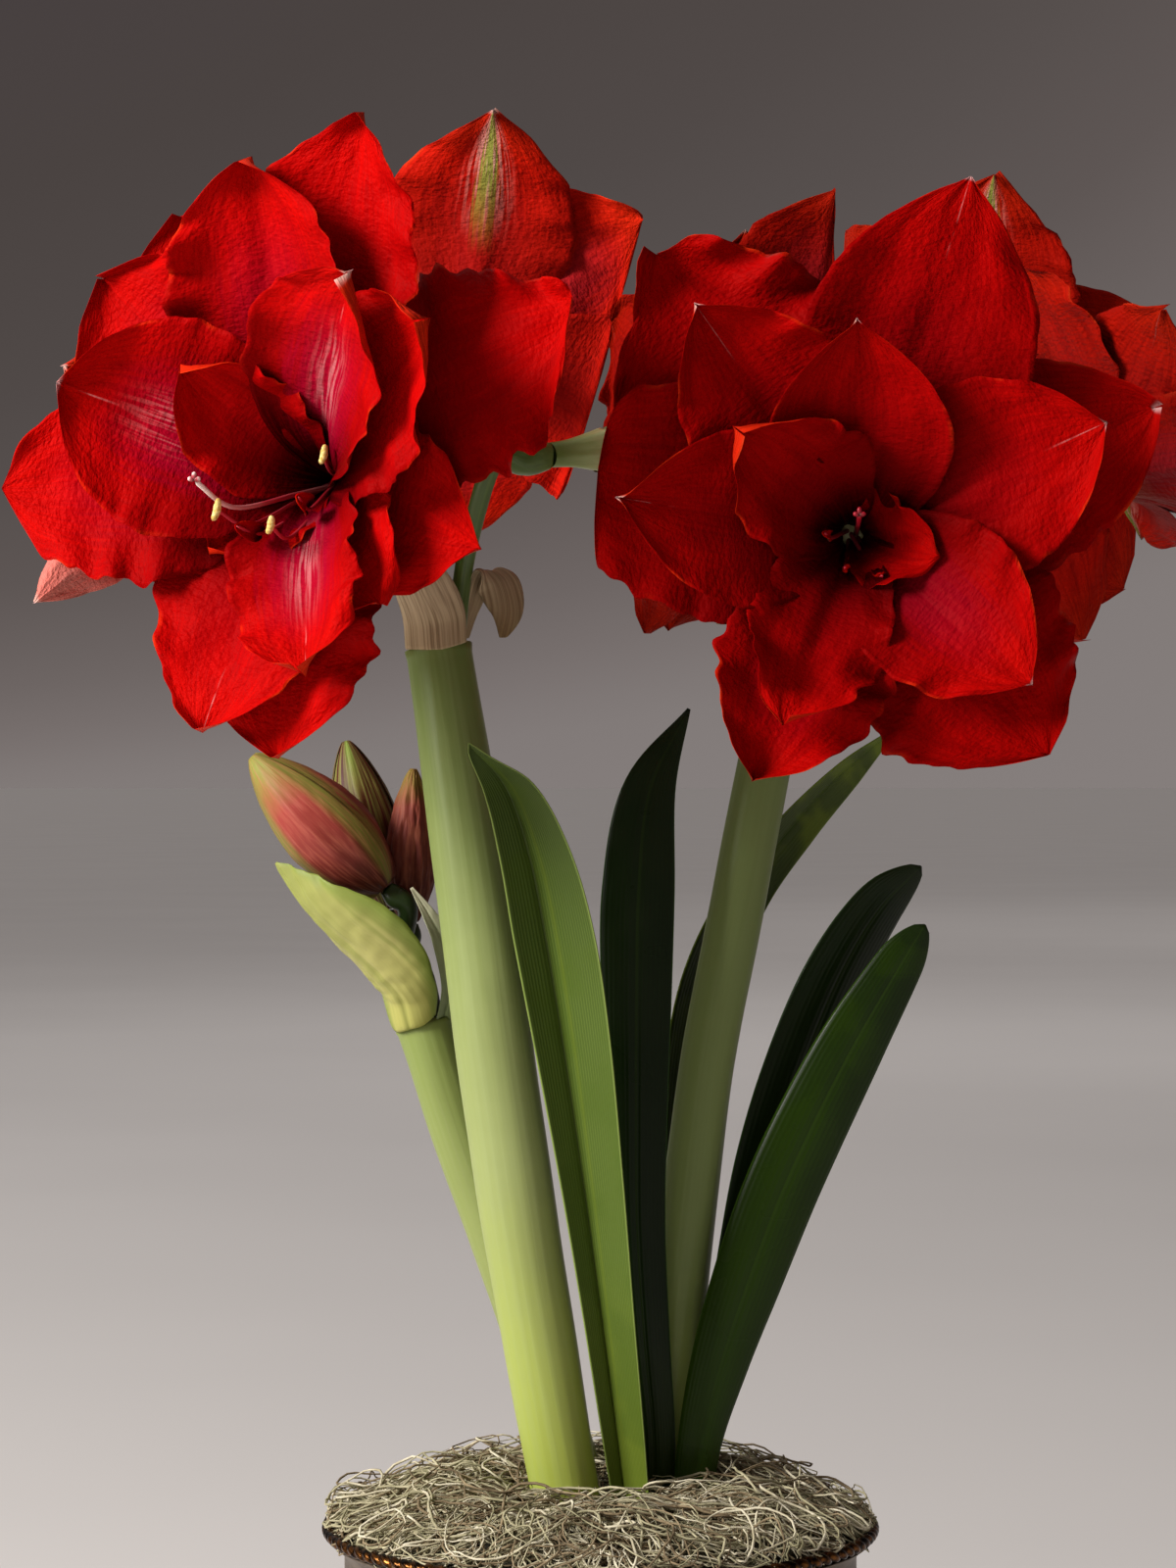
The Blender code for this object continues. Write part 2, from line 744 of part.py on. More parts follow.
def bend_clear(point, own, neighbours):
    """Bends a point away from each plane between two blooms, softly, and never onto or past the plane."""
    site, room = own
    for _ in range(2):
        for other, other_room in neighbours:
            away = (site - other).normalized()
            depth = (point - site.lerp(other, room / (room + other_room))).dot(away)
            if depth < BEND_DEPTH + LEAST_GAP:
                kept = LEAST_GAP + BEND_DEPTH * math.exp((depth - LEAST_GAP - BEND_DEPTH) / BEND_DEPTH)
                point = point + away * (kept - depth)
    return point


def half_width(petal, s):
    """An obovate tepal: a narrow claw at its base, widest past the middle, and a small pointed tip."""
    if s < 0.6:
        lobe = math.sin(math.pi / 2 * s / 0.6) ** 1.7
    else:
        lobe = max(1 - ((s - 0.6) / 0.4) ** 2.3, 0.0) ** 0.7
    return 0.0022 * (1 - s) + petal.width / 2 * lobe + 0.0005


def petal_depths(petals):
    """Lays the petals over each other: each is a whole layer in front of any earlier one that it overlaps."""
    depths = []
    for i, petal in enumerate(petals):
        least = [petal.depth]
        for earlier, depth in zip(petals[:i], depths):
            apart = abs((petal.clock - earlier.clock + 180) % 360 - 180)
            if apart < math.degrees(math.atan(petal.width / 0.1) + math.atan(earlier.width / 0.1)):
                least.append(depth + LAYER_STEP)
        depths.append(max(least))
    return depths


def layer_line(depth):
    """The line that a layer of petals follows, each millimetre: how far out, how far forward, and its lean.

    It leaves the throat upright and opens out. Deeper layers start nearer the middle and open less.
    """
    out, forward, line = THROAT_RADIUS - 0.0022 - 0.00065 * depth, -0.005, []
    for step in range(150):
        lean = math.radians(14 + (90 - 7 * depth) * (1 - math.exp(-((step / 34) ** 1.6))))
        line.append((out, forward, lean))
        out += 0.001 * math.sin(lean)
        forward += 0.001 * math.cos(lean)
    return line


def line_at(line, along):
    place = min(max(along * 1000, 0.0), len(line) - 1.001)
    i = int(place)
    f = place - i
    return tuple(a + (b - a) * f for a, b in zip(line[i], line[i + 1]))


def petal_length(petal, line):
    return next((i for i, here in enumerate(line) if here[0] >= petal.reach), 120) / 1000


def petal_stations(length, rows):
    """Where a petal's rows of points fall, as shares of its length. All share the first ones."""
    shared = (0.0, 0.014, 0.030, 0.054) if rows > 4 else (0.0, 0.016, 0.044)
    kept = [along for along in shared if along < 0.7 * length]
    return [along / length for along in kept] + [0.86, 1.0]


def petal_point(petal, line, frame, throat, s, t):
    """A point on a petal: its layer's surface round the throat, with the petal's own cup, fold and waves."""
    right, up, forward = frame
    length = petal_length(petal, line)
    out, _, lean = line_at(line, s * length)
    half = half_width(petal, s)
    aside = half * t + petal.sway * s * s
    slope = max(math.sin(lean), 0.05)
    slant = out / slope
    clock = math.radians(petal.clock) + math.atan2(aside, slant) / slope
    along = s * length + math.hypot(slant, aside) - slant - 0.34 * half * t * t * s**3
    out, ahead, lean = line_at(line, along)
    outward = up * math.cos(clock) + right * math.sin(clock)
    front = forward * math.sin(lean) - outward * math.cos(lean)
    layer_gap = 0.0008 + 0.09 * max(along - 0.025, 0.0)
    phase = math.radians(petal.clock * 3) + (1.3 if t > 0 else 0.0)
    frill = petal.wave * abs(t) ** 3 * math.sin(10 * s + phase)
    bow = petal.cup * t * t + petal.fold * abs(t) + frill + petal.lean * t
    return throat + outward * out + forward * ahead + front * (layer_gap * bow + petal.curl * s**4)


def petal_mesh(name, place, stations, columns):
    """A petal's surface: rows of points from a pointed base to a pointed tip, in triangles split alike."""
    points, faces = [place(stations[0], 0)], []
    for s in stations[1:-1]:
        points += [place(s, 2 * i / columns - 1) for i in range(columns + 1)]
    points.append(place(stations[-1], 0))
    wide, tip = columns + 1, len(points) - 1
    for i in range(columns):
        faces.append((0, i + 2, i + 1))
        faces.append((tip - wide + i, tip - wide + i + 1, tip))
        for first in range(1, tip - wide, wide):
            a, b = first + i, first + i + wide
            faces += [(a, a + 1, b), (a + 1, b + 1, b)]
    mesh = bpy.data.meshes.new(name)
    mesh.from_pydata(points, [], faces)
    return mesh


def make_tube_core(bloom, frame, collection):
    """The floral tube that the petals and stamens grow from."""
    shape = bmesh.new()
    bmesh.ops.create_cone(
        shape, cap_ends=True, segments=8, radius1=TUBE_RADIUS, radius2=THROAT_RADIUS, depth=TUBE_LENGTH
    )
    turn = frame[2].to_track_quat("Z", "Y").to_matrix().to_4x4()
    move = Matrix.Translation(mm(*bloom.throat) - frame[2] * (TUBE_LENGTH / 2))
    bmesh.ops.transform(shape, matrix=move @ turn, verts=shape.verts)
    mesh = bpy.data.meshes.new(bloom.name)
    shape.to_mesh(mesh)
    shape.free()
    return add_object(bloom.name + "_core", mesh, None, collection)


def make_filament(bloom, frame, index, site, neighbours, collection):
    """One stamen, or the longer style for index 0: it leans with gravity and turns up at its end."""
    right, up, forward = frame
    throat = mm(*bloom.throat)
    spread = 2 * math.pi * index / max(bloom.stamens, 1)
    length = 0.062 if index == 0 else 0.050
    ring = 0.0 if index == 0 else 0.0018
    outward = right * math.cos(spread) + up * math.sin(spread)
    fan = 0.0 if index == 0 else 0.006
    points = [
        throat - forward * 0.003 + outward * ring,
        throat + forward * length * 0.4 + outward * (ring + fan * 0.3) - up * 0.003,
        throat + forward * length * 0.8 + outward * (ring + fan * 0.8) - up * 0.010,
        throat + forward * length + outward * (ring + fan) - up * 0.009,
    ]
    points = [bend_clear(point, site, neighbours) for point in points]
    radii = (0.0009, 0.0008, 0.0008, 0.0016)
    stalk = tube(f"{bloom.name}_filament_{index}", points, radii, 4, 0, None, collection)
    return as_mesh_object(stalk)


def make_bloom(bloom, finish, collection):
    """A whole bloom in one body: its tube, its petals from the outer whorl in, and its stamens and style."""
    frame = bloom_frame(bloom)
    throat = mm(*bloom.throat)
    site = bloom_site(bloom)
    neighbours = [bloom_site(other) for other in BLOOMS if other.name != bloom.name] + [BUD_SITE]
    pieces = [make_tube_core(bloom, frame, collection)]
    for i, (petal, depth) in enumerate(zip(bloom.petals, petal_depths(bloom.petals))):
        line = layer_line(depth)
        mesh = petal_mesh(
            f"{bloom.name}_petal_{i}",
            lambda s, t: bend_clear(petal_point(petal, line, frame, throat, s, t), site, neighbours),
            petal_stations(petal_length(petal, line), bloom.rows),
            bloom.columns,
        )
        piece = add_object(mesh.name, mesh, None, collection)
        thicken(piece, PETAL_THICKNESS)
        pieces.append(as_mesh_object(piece))
    for i in range(bloom.stamens + 1):
        pieces.append(make_filament(bloom, frame, i, site, neighbours, collection))
    return fuse(bloom.name, pieces, finish, collection)


def make_pedicel(bloom, finish, collection):
    """The green stalk and ovary behind a bloom, from the scape's top to the tube."""
    forward = bloom_frame(bloom)[2]
    seat = mm(*bloom.throat) - forward * (TUBE_LENGTH + SEAT_GAP)
    ovary = seat - forward * OVARY_LENGTH
    foot = mm(*bloom.foot)
    rise = max((ovary - foot).length * 0.45, 0.010)
    points = (
        foot,
        foot + Vector((0, 0, rise)).lerp((ovary - foot) * 0.45, 0.45),
        ovary - forward * 0.006,
        ovary + forward * 0.005,
        seat - forward * 0.007,
        seat,
    )
    radii = (PEDICEL_RADIUS, PEDICEL_RADIUS, PEDICEL_RADIUS + 0.0004, OVARY_RADIUS, OVARY_RADIUS, TUBE_RADIUS)
    name = bloom.name.replace("bloom", "pedicel")
    return tube(name, points, radii, 7, 1, finish, collection)


def main():
    clear_scene()
    collection = bpy.data.collections.new("amaryllis_in_pot")
    bpy.context.scene.collection.children.link(collection)
    bronze = material("antique bronze", (0.10, 0.075, 0.06), 0.42, 0.85)
    gilt = material("dark gilt rope", (0.16, 0.09, 0.04), 0.35, 0.90)
    earth = material("potting soil", (0.035, 0.022, 0.014), 0.95)
    tunic = material("bulb tunic", (0.22, 0.10, 0.05), 0.70)
    moss_grey = material("dried moss", (0.30, 0.29, 0.20), 0.95)
    stem_green = material("scape green", (0.32, 0.45, 0.14), 0.45)
    leaf_green = material("leaf green", (0.03, 0.11, 0.02), 0.35)
    fresh_green = material("fresh leaf green", (0.14, 0.30, 0.05), 0.40)
    stalk_green = material("pedicel green", (0.10, 0.22, 0.05), 0.45)
    red = material("petal red", (0.56, 0.004, 0.006), 0.45)
    bud_pink = material("bud tepal", (0.42, 0.11, 0.08), 0.50)
    papery = material("dried spathe", (0.40, 0.31, 0.19), 0.80)
    valve_green = material("fresh spathe", (0.46, 0.50, 0.12), 0.50)

    make_pot(bronze, collection)
    make_rope_rim(gilt, collection)
    make_soil(earth, collection)
    make_bulb(tunic, collection)
    for name in SCAPES:
        make_scape(name, stem_green, collection)
    for leaf in LEAVES:
        make_blade(leaf, fresh_green if leaf.name == "leaf_front" else leaf_green, collection)
    holes = [as_mesh_object(make_scape(name, None, collection, 0.0006)) for name in SCAPES]
    holes += [as_mesh_object(make_blade(leaf, None, collection, 0.0006)) for leaf in LEAVES]
    make_moss(holes, moss_grey, collection)
    for bract in BRACTS:
        make_blade(bract, valve_green if bract.name == "spathe_bud_valve" else papery, collection)
    for bud in BUDS:
        make_bud(bud, bud_pink, collection)
        make_bud_stalk(bud, stalk_green, collection)
    for bloom in BLOOMS:
        make_bloom(bloom, red, collection)
        make_pedicel(bloom, stalk_green, collection)


main()
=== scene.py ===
"""Looks for an amaryllis in a pot: double red blooms, buds, scapes, strap leaves, moss and a metal pot.

Metres, +Z up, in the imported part's own frame: the pot's base is centred on the origin and the front faces -Y.
Every curved piece is a grid or a ring bent to a surface. Its vertices carry three attributes for the
finishes: span is (across -1 to 1, along 0 to 1), skin is the same place in metres, and traits vary from petal
to petal.
"""

import logging
import math
import random
from dataclasses import dataclass
from enum import Enum
from functools import cache, cached_property
from typing import Any, Callable, Optional, Sequence

import bmesh
import bpy
from mathutils import Matrix, Vector, noise


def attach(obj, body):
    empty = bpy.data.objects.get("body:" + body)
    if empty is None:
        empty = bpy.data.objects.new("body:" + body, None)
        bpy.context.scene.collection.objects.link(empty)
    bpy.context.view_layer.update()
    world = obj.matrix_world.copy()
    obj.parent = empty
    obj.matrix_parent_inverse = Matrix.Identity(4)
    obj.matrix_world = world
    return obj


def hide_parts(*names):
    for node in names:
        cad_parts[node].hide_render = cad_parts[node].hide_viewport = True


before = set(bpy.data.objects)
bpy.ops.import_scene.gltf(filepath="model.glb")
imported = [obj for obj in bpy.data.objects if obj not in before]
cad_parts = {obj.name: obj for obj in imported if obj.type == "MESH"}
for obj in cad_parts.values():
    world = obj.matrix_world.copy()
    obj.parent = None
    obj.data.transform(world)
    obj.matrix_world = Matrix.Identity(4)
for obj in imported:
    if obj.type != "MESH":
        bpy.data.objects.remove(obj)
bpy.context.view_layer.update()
BODY = "root"
UP = Vector((0, 0, 1))
SEAT_GAP = 0.0003
log = logging.getLogger("amaryllis")

# Sockets of the colour Mix node, which has the same names on its number and vector sockets.
MIX_A, MIX_B, MIX_OUT = 6, 7, 2

Point = tuple[float, float, float]
Surface = Callable[[float, float], tuple[Vector, Vector]]
Relief = Callable[[float, float], float]
Layer = tuple[str, float, Sequence[tuple[Any, float, float]]]
NO_TRAITS: Point = (0.0, 0.0, 0.0)


def mm(*values: float) -> Vector:
    """Millimetres as a vector in metres."""
    return Vector(values) / 1000


def linear(code: str) -> tuple[float, ...]:
    """Turns an sRGB colour, written as #rrggbb, to linear red, green and blue, and an alpha of 1."""
    channels = [int(code[i : i + 2], 16) / 255 for i in (1, 3, 5)]
    return (*(c / 12.92 if c <= 0.04045 else ((c + 0.055) / 1.055) ** 2.4 for c in channels), 1.0)


def smooth(value: float, low: float, high: float) -> float:
    """Eases from 0 at low to 1 at high."""
    share = min(max((value - low) / (high - low), 0.0), 1.0)
    return share * share * (3 - 2 * share)


def bell(offset: float, width: float) -> float:
    """A hump that is 1 where the offset is 0, and fades over the width."""
    return math.exp(-((offset / width) ** 2))


def everywhere(s: float, t: float) -> float:
    """The whole of a value, all over a piece."""
    return 1.0


def nowhere(s: float, t: float) -> float:
    """Nothing of a value, all over a piece."""
    return 0.0


def spline_value(values: Sequence[Any], at: float) -> Any:
    """Reads a smooth curve through evenly spaced numbers or vectors.

    Args:
        values: the numbers or vectors.
        at: the share of the curve's length, from 0 to 1.

    Returns:
        The number or vector there.
    """
    spans = len(values) - 1
    place = min(max(at, 0.0), 1.0) * spans
    i = min(int(place), spans - 1)
    f = place - i
    p1, p2 = values[i], values[i + 1]
    p0 = values[i - 1] if i > 0 else p1 * 2 - p2
    p3 = values[i + 2] if i + 2 <= spans else p2 * 2 - p1
    return (
        p1
        + (p2 - p0) * (f / 2)
        + (p0 * 2 - p1 * 5 + p2 * 4 - p3) * (f * f / 2)
        + (p1 * 3 - p0 - p2 * 3 + p3) * (f * f * f / 2)
    )


# Finishes


def feed(tree: bpy.types.NodeTree, node: bpy.types.Node, inputs: dict[Any, Any]) -> None:
    """Sets or links a node's inputs.

    Args:
        tree: the node tree that it is in.
        node: the node.
        inputs: for each input's name or number, a value or the output socket that feeds it.
    """
    for key, value in inputs.items():
        if isinstance(value, bpy.types.NodeSocket):
            tree.links.new(value, node.inputs[key])
        else:
            node.inputs[key].default_value = value


def add_node(
    tree: bpy.types.NodeTree,
    kind: str,
    inputs: Optional[dict[Any, Any]] = None,
    stops: Sequence[tuple[float, str]] = (),
    **settings: Any,
) -> Any:
    """Adds a node with its settings and links.

    Args:
        tree: the node tree that gets it.
        kind: the node's type, without the ShaderNode that they all begin with.
        inputs: for each input's name or number, a value or the output socket that feeds it.
        stops: place and hex colour of each stop, for a colour ramp.
        settings: properties to set.

    Returns:
        The new node's output sockets.
    """
    node = tree.nodes.new("ShaderNode" + kind)
    for name, value in settings.items():
        setattr(node, name, value)
    feed(tree, node, inputs or {})
    for i, (place, code) in enumerate(stops):
        elements = node.color_ramp.elements
        stop = elements[i] if i < min(2, len(elements)) else elements.new(place)
        stop.position, stop.color = place, linear(code)
    return node.outputs


def paint(tree: bpy.types.NodeTree, base: Any, layers: Sequence[Layer], easing: str = "SMOOTHSTEP") -> Any:
    """Paints tones over a colour, each where all of its ranges hold.

    Args:
        tree: the node tree.
        base: the colour under them, or its socket.
        layers: for each tone its hex colour, its greatest share and its ranges: what is read, where it is 0
            and where it is 1.
        easing: how a range runs between its ends.

    Returns:
        The painted colour's socket.
    """
    for tone, most, ranges in layers:
        mask: Any = most
        for source, low, high in ranges:
            limits = {"Value": source, "From Min": low, "From Max": high}
            eased = add_node(tree, "MapRange", limits, interpolation_type=easing)[0]
            mask = add_node(tree, "Math", {0: eased, 1: mask}, operation="MULTIPLY")[0]
        mixed = add_node(tree, "Mix", {0: mask, MIX_A: base, MIX_B: linear(tone)}, data_type="RGBA")
        base = mixed[MIX_OUT]
    return base


@dataclass(frozen=True)
class Finish:
    """A finish, whose material is made when a piece first asks for it."""

    name: str

    @cache
    def material(self) -> bpy.types.Material:
        """Makes the material.

        Returns:
            The material, the same one at every call.
        """
        made = bpy.data.materials.new(self.name)
        made.use_nodes = True
        tree = made.node_tree
        feed(tree, tree.nodes["Principled BSDF"], self.looks(tree))
        return made

    def looks(self, tree: bpy.types.NodeTree) -> dict[str, Any]:
        """A value, or the socket that feeds it, for each input of the shader that the finish sets."""
        raise NotImplementedError


@dataclass(frozen=True)
class PetalFace(Finish):
    """One face of a fresh petal: a saturated red with little green or blue, so that light only brightens it.

    Fine veins run to the tip, and the skin between them is puckered like seersucker. Real veins stand about
    half a millimetre apart, so they are drawn coarser here to show at all.
    """

    stops: tuple[tuple[float, str], ...]
    vein_and_shade: str
    glow_margin: str
    painted_sheen: str
    pale: str
    green: str
    vein_share: float = 0.30
    vein_mm: float = 1.3
    vein_length_mm: float = 26.0
    vein_depth_mm: float = 0.25
    fray: float = 0.5
    pucker_mm: float = 1.7
    pucker_stretch: float = 0.6
    pucker_depth_mm: float = 1.2
    patches_per_metre: tuple[float, float] = (110.0, 70.0)
    patch_depth_mm: float = 0.9
    relief: float = 0.7
    roughness: float = 0.5
    gloss: float = 0.05
    sheen: str = "#ff5c50"

    def looks(self, tree: bpy.types.NodeTree) -> dict[str, Any]:
        """Lays the red along the petal, paints its other tones over it and raises the skin.

        Args:
            tree: the material's node tree.

        Returns:
            What feeds the shader.
        """
        span_at, skin, traits_at = (
            add_node(tree, "Attribute", attribute_name=name)["Vector"] for name in ("span", "skin", "traits")
        )
        span, traits = (add_node(tree, "SeparateXYZ", {0: source}) for source in (span_at, traits_at))
        across = add_node(tree, "Math", {0: span["X"]}, operation="ABSOLUTE")[0]
        along, sheen_share, striped = span["Y"], traits["X"], traits["Y"]
        # The skin's third axis holds the petal's seed in hundredths, which this scale takes far apart.
        squeezes = (
            (1000 / self.vein_mm, 1000 / self.vein_length_mm, 1000),
            (1000 * self.pucker_stretch / self.pucker_mm, 1000 / self.pucker_mm, 1000),
            (*self.patches_per_metre, 1000),
        )
        places = (add_node(tree, "VectorMath", {0: skin, 1: by}, operation="MULTIPLY")[0] for by in squeezes)
        veins, puckers, patches = (
            add_node(tree, "TexNoise", {"Vector": place, "Scale": 1.0, "Detail": 2.0})[0] for place in places
        )
        frayed = add_node(tree, "Math", {0: veins, 1: self.fray, 2: across}, operation="MULTIPLY_ADD")[0]
        sheen_ranges = ((along, 0.20, 0.46), (along, 0.92, 0.58), (frayed, 0.95, 0.35), (sheen_share, 0, 1))
        highlight_ranges = ((along, 0.30, 0.55), (along, 0.85, 0.60), (frayed, 0.62, 0.30), (veins, 0.45, 0.62))
        line_ranges = ((across, 0.016, 0.004), (along, 0.79, 0.90), (patches, 0.42, 0.55), (striped, 0, 0.3))
        beside_ranges = ((frayed, 0.66, 0.34), (veins, 0.46, 0.62), (along, 0.45, 0.85), (striped, 0.4, 1))
        red = add_node(tree, "ValToRGB", {0: along}, self.stops)[0]
        painted = paint(
            tree,
            red,
            (
                (self.vein_and_shade, self.vein_share, ((veins, 0.60, 0.36),)),
                # The vein tone also darkens the low hollows of the broad relief: painted shade.
                (self.vein_and_shade, 0.25, ((patches, 0.56, 0.36), (along, 0.30, 0.60))),
                # A magenta tone over the middle of the petal: painted sheen.
                (self.painted_sheen, 0.55, sheen_ranges),
                # Pale streaks over the sheen, broken by the veins: painted highlight.
                (self.pale, 0.22, (*highlight_ranges, (sheen_share, 0.4, 1))),
                # An orange rim at the margins: painted glow, for light shining through the thin edge.
                (self.glow_margin, 0.55, ((across, 0.93, 1.0), (along, 0.45, 0.80), (patches, 0.50, 0.66))),
                (self.pale, 0.24, line_ranges),
                (self.pale, 0.75, beside_ranges),
                (self.green, 0.95, ((frayed, 0.40, 0.28), (along, 0.42, 0.78), (striped, 0.4, 1))),
                (self.pale, 0.85, ((span["Z"], 0.3, 0.9),)),
            ),
        )
        normal: dict[str, Any] = {}
        for height, depth_mm in (
            (patches, self.patch_depth_mm),
            (puckers, self.pucker_depth_mm),
            (veins, self.vein_depth_mm),
        ):
            inputs = {"Strength": self.relief, "Distance": depth_mm / 1000, "Height": height, **normal}
            normal = {"Normal": add_node(tree, "Bump", inputs)[0]}
        return {
            # The third trait darkens the red: the petal's own tone, times its bloom's painted shade.
            "Base Color": add_node(tree, "HueSaturation", {"Value": traits["Z"], "Color": painted})[0],
            "Roughness": self.roughness,
            "Specular IOR Level": self.gloss,
            "Specular Tint": linear(self.sheen),
            **normal,
        }


@dataclass(frozen=True)
class StreakedSkin(Finish):
    """A waxy plant skin whose colour runs from its foot to its top, with fine streaks along it."""

    foot: str
    middle: str
    top: str
    streak: str
    streak_mm: float = 1.2
    streak_length_mm: float = 60.0
    streak_share: float = 0.35
    foot_end: float = 0.12
    middle_end: float = 0.55
    roughness: float = 0.38
    ridge_mm: float = 0.12
    gloss: float = 0.4
    side: str = ""
    side_from: float = 0.45
    side_fade: float = 0.3
    fray: float = 0.22
    blotches_per_metre: float = 90.0
    blotch_shift: float = 0.10
    relief: float = 0.7

    def looks(self, tree: bpy.types.NodeTree) -> dict[str, Any]:
        """Lays the colour along the piece, tints its sides if it has a side tone, and draws the streaks.

        Args:
            tree: the material's node tree.

        Returns:
            What feeds the shader.
        """
        span_at = add_node(tree, "Attribute", attribute_name="span")["Vector"]
        span = add_node(tree, "SeparateXYZ", {0: span_at})
        skin = add_node(tree, "Attribute", attribute_name="skin")["Vector"]
        squeeze = (1000 / self.streak_mm, 1000 / self.streak_mm, 1000 / self.streak_length_mm)
        streaks_at = add_node(tree, "VectorMath", {0: skin, 1: squeeze}, operation="MULTIPLY")[0]
        streaks = add_node(tree, "TexNoise", {"Vector": streaks_at, "Scale": 1.0, "Detail": 3.0})[0]
        blotched = {"Vector": skin, "Scale": self.blotches_per_metre, "Detail": 2.0}
        blotches = add_node(tree, "TexNoise", blotched)[0]
        shifted = {0: blotches, 1: self.blotch_shift, 2: span["Y"]}
        along = add_node(tree, "Math", shifted, operation="MULTIPLY_ADD")[0]
        stops = ((self.foot_end, self.foot), (self.middle_end, self.middle), (1.0, self.top))
        colour = add_node(tree, "ValToRGB", {0: along}, stops)[0]
        if self.side:
            across = add_node(tree, "Math", {0: span["X"]}, operation="ABSOLUTE")[0]
            fray = {0: streaks, 1: self.fray, 2: across}
            frayed = add_node(tree, "Math", fray, operation="MULTIPLY_ADD")[0]
            beside = (frayed, self.side_from, self.side_from + self.side_fade)
            colour = paint(tree, colour, [(self.side, 1.0, [beside])])
        colour = paint(tree, colour, [(self.streak, self.streak_share, [(streaks, 0.42, 0.66)])], "LINEAR")
        raised = {"Strength": self.relief, "Distance": self.ridge_mm / 1000, "Height": streaks}
        return {
            "Base Color": colour,
            "Roughness": self.roughness,
            "Specular IOR Level": self.gloss,
            "Normal": add_node(tree, "Bump", raised)[0],
        }


@dataclass(frozen=True)
class LeafSkin(Finish):
    """A strap leaf's glossy skin, with close parallel ribs, a midrib and a thin pale edge."""

    foot: str
    body: str
    top: str
    rib: str
    edge: str
    ribs: int = 34
    rib_share: float = 0.5
    roughness: float = 0.34
    gloss: float = 0.5
    rib_depth_mm: float = 0.05
    clouds_per_metre: float = 45.0
    smoother: float = 0.05
    rougher: float = 0.08
    relief: float = 0.6

    def looks(self, tree: bpy.types.NodeTree) -> dict[str, Any]:
        """Lays the green along the leaf, and paints its ribs, clouded body, midrib and edge over it.

        Args:
            tree: the material's node tree.

        Returns:
            What feeds the shader.
        """
        span_at = add_node(tree, "Attribute", attribute_name="span")["Vector"]
        span = add_node(tree, "SeparateXYZ", {0: span_at})
        skin = add_node(tree, "Attribute", attribute_name="skin")["Vector"]
        across = add_node(tree, "Math", {0: span["X"]}, operation="ABSOLUTE")[0]
        stops = ((0.02, self.foot), (0.30, self.body), (0.92, self.top))
        green = add_node(tree, "ValToRGB", {0: span["Y"]}, stops)[0]
        clouded = {"Vector": skin, "Scale": self.clouds_per_metre, "Detail": 2.0}
        clouds = add_node(tree, "TexNoise", clouded)[0]
        turned = {0: span["X"], 1: self.ribs * math.pi, 2: clouds}
        angle = add_node(tree, "Math", turned, operation="MULTIPLY_ADD")[0]
        ribs = add_node(tree, "Math", {0: angle}, operation="SINE")[0]
        layers = (
            (self.rib, self.rib_share, [(ribs, -0.2, 1.0)]),
            (self.body, 0.6, [(clouds, 0.52, 0.38)]),
            (self.foot, 0.35, [(across, 0.07, 0.02)]),
            (self.edge, 0.8, [(across, 0.955, 1.0)]),
        )
        rough = {
            "Value": clouds,
            "From Min": 0.3,
            "From Max": 0.7,
            "To Min": self.roughness - self.smoother,
            "To Max": self.roughness + self.rougher,
        }
        raised = {"Strength": self.relief, "Distance": self.rib_depth_mm / 1000, "Height": ribs}
        return {
            "Base Color": paint(tree, green, layers),
            "Roughness": add_node(tree, "MapRange", rough)[0],
            "Specular IOR Level": self.gloss,
            "Normal": add_node(tree, "Bump", raised)[0],
        }


@dataclass(frozen=True)
class MottledSkin(Finish):
    """A surface that two tones mottle, with a fine grain: soil, tunic, pollen, moss or worn metal."""

    base: str
    patch: str
    patch_mm: float
    grain_mm: float
    grain_depth_mm: float
    roughness: float = 0.85
    metallic: float = 0.0
    sharp: float = 0.13
    middle: float = 0.51
    relief: float = 0.8

    def looks(self, tree: bpy.types.NodeTree) -> dict[str, Any]:
        """Mottles the two tones and raises the grain.

        Args:
            tree: the material's node tree.

        Returns:
            What feeds the shader.
        """
        place = add_node(tree, "TexCoord")["Object"]
        patches, grain = (
            add_node(tree, "TexNoise", {"Vector": place, "Scale": 1000 / size, "Detail": detail})[0]
            for size, detail in ((self.patch_mm, 3.0), (self.grain_mm, 2.0))
        )
        mottled = (patches, self.middle - self.sharp, self.middle + self.sharp)
        raised = {"Strength": self.relief, "Distance": self.grain_depth_mm / 1000, "Height": grain}
        return {
            "Base Color": paint(tree, linear(self.base), [(self.patch, 1.0, [mottled])], "LINEAR"),
            "Roughness": self.roughness,
            "Metallic": self.metallic,
            "Normal": add_node(tree, "Bump", raised)[0],
        }


@dataclass(frozen=True)
class Paper(Finish):
    """Matt studio paper in two close tones, so that the floor isn't dead flat."""

    tone: str = "#dcd8d6"
    other_tone: str = "#d4d0ce"
    clouds_per_metre: float = 1.5
    roughness: float = 0.95
    gloss: float = 0.1

    def looks(self, tree: bpy.types.NodeTree) -> dict[str, Any]:
        """Clouds the two tones.

        Args:
            tree: the material's node tree.

        Returns:
            What feeds the shader.
        """
        place = add_node(tree, "TexCoord")["Object"]
        clouds = add_node(tree, "TexNoise", {"Vector": place, "Scale": self.clouds_per_metre})[0]
        tones = {0: clouds, MIX_A: linear(self.tone), MIX_B: linear(self.other_tone)}
        return {
            "Base Color": add_node(tree, "Mix", tones, data_type="RGBA")[MIX_OUT],
            "Roughness": self.roughness,
            "Specular IOR Level": self.gloss,
        }


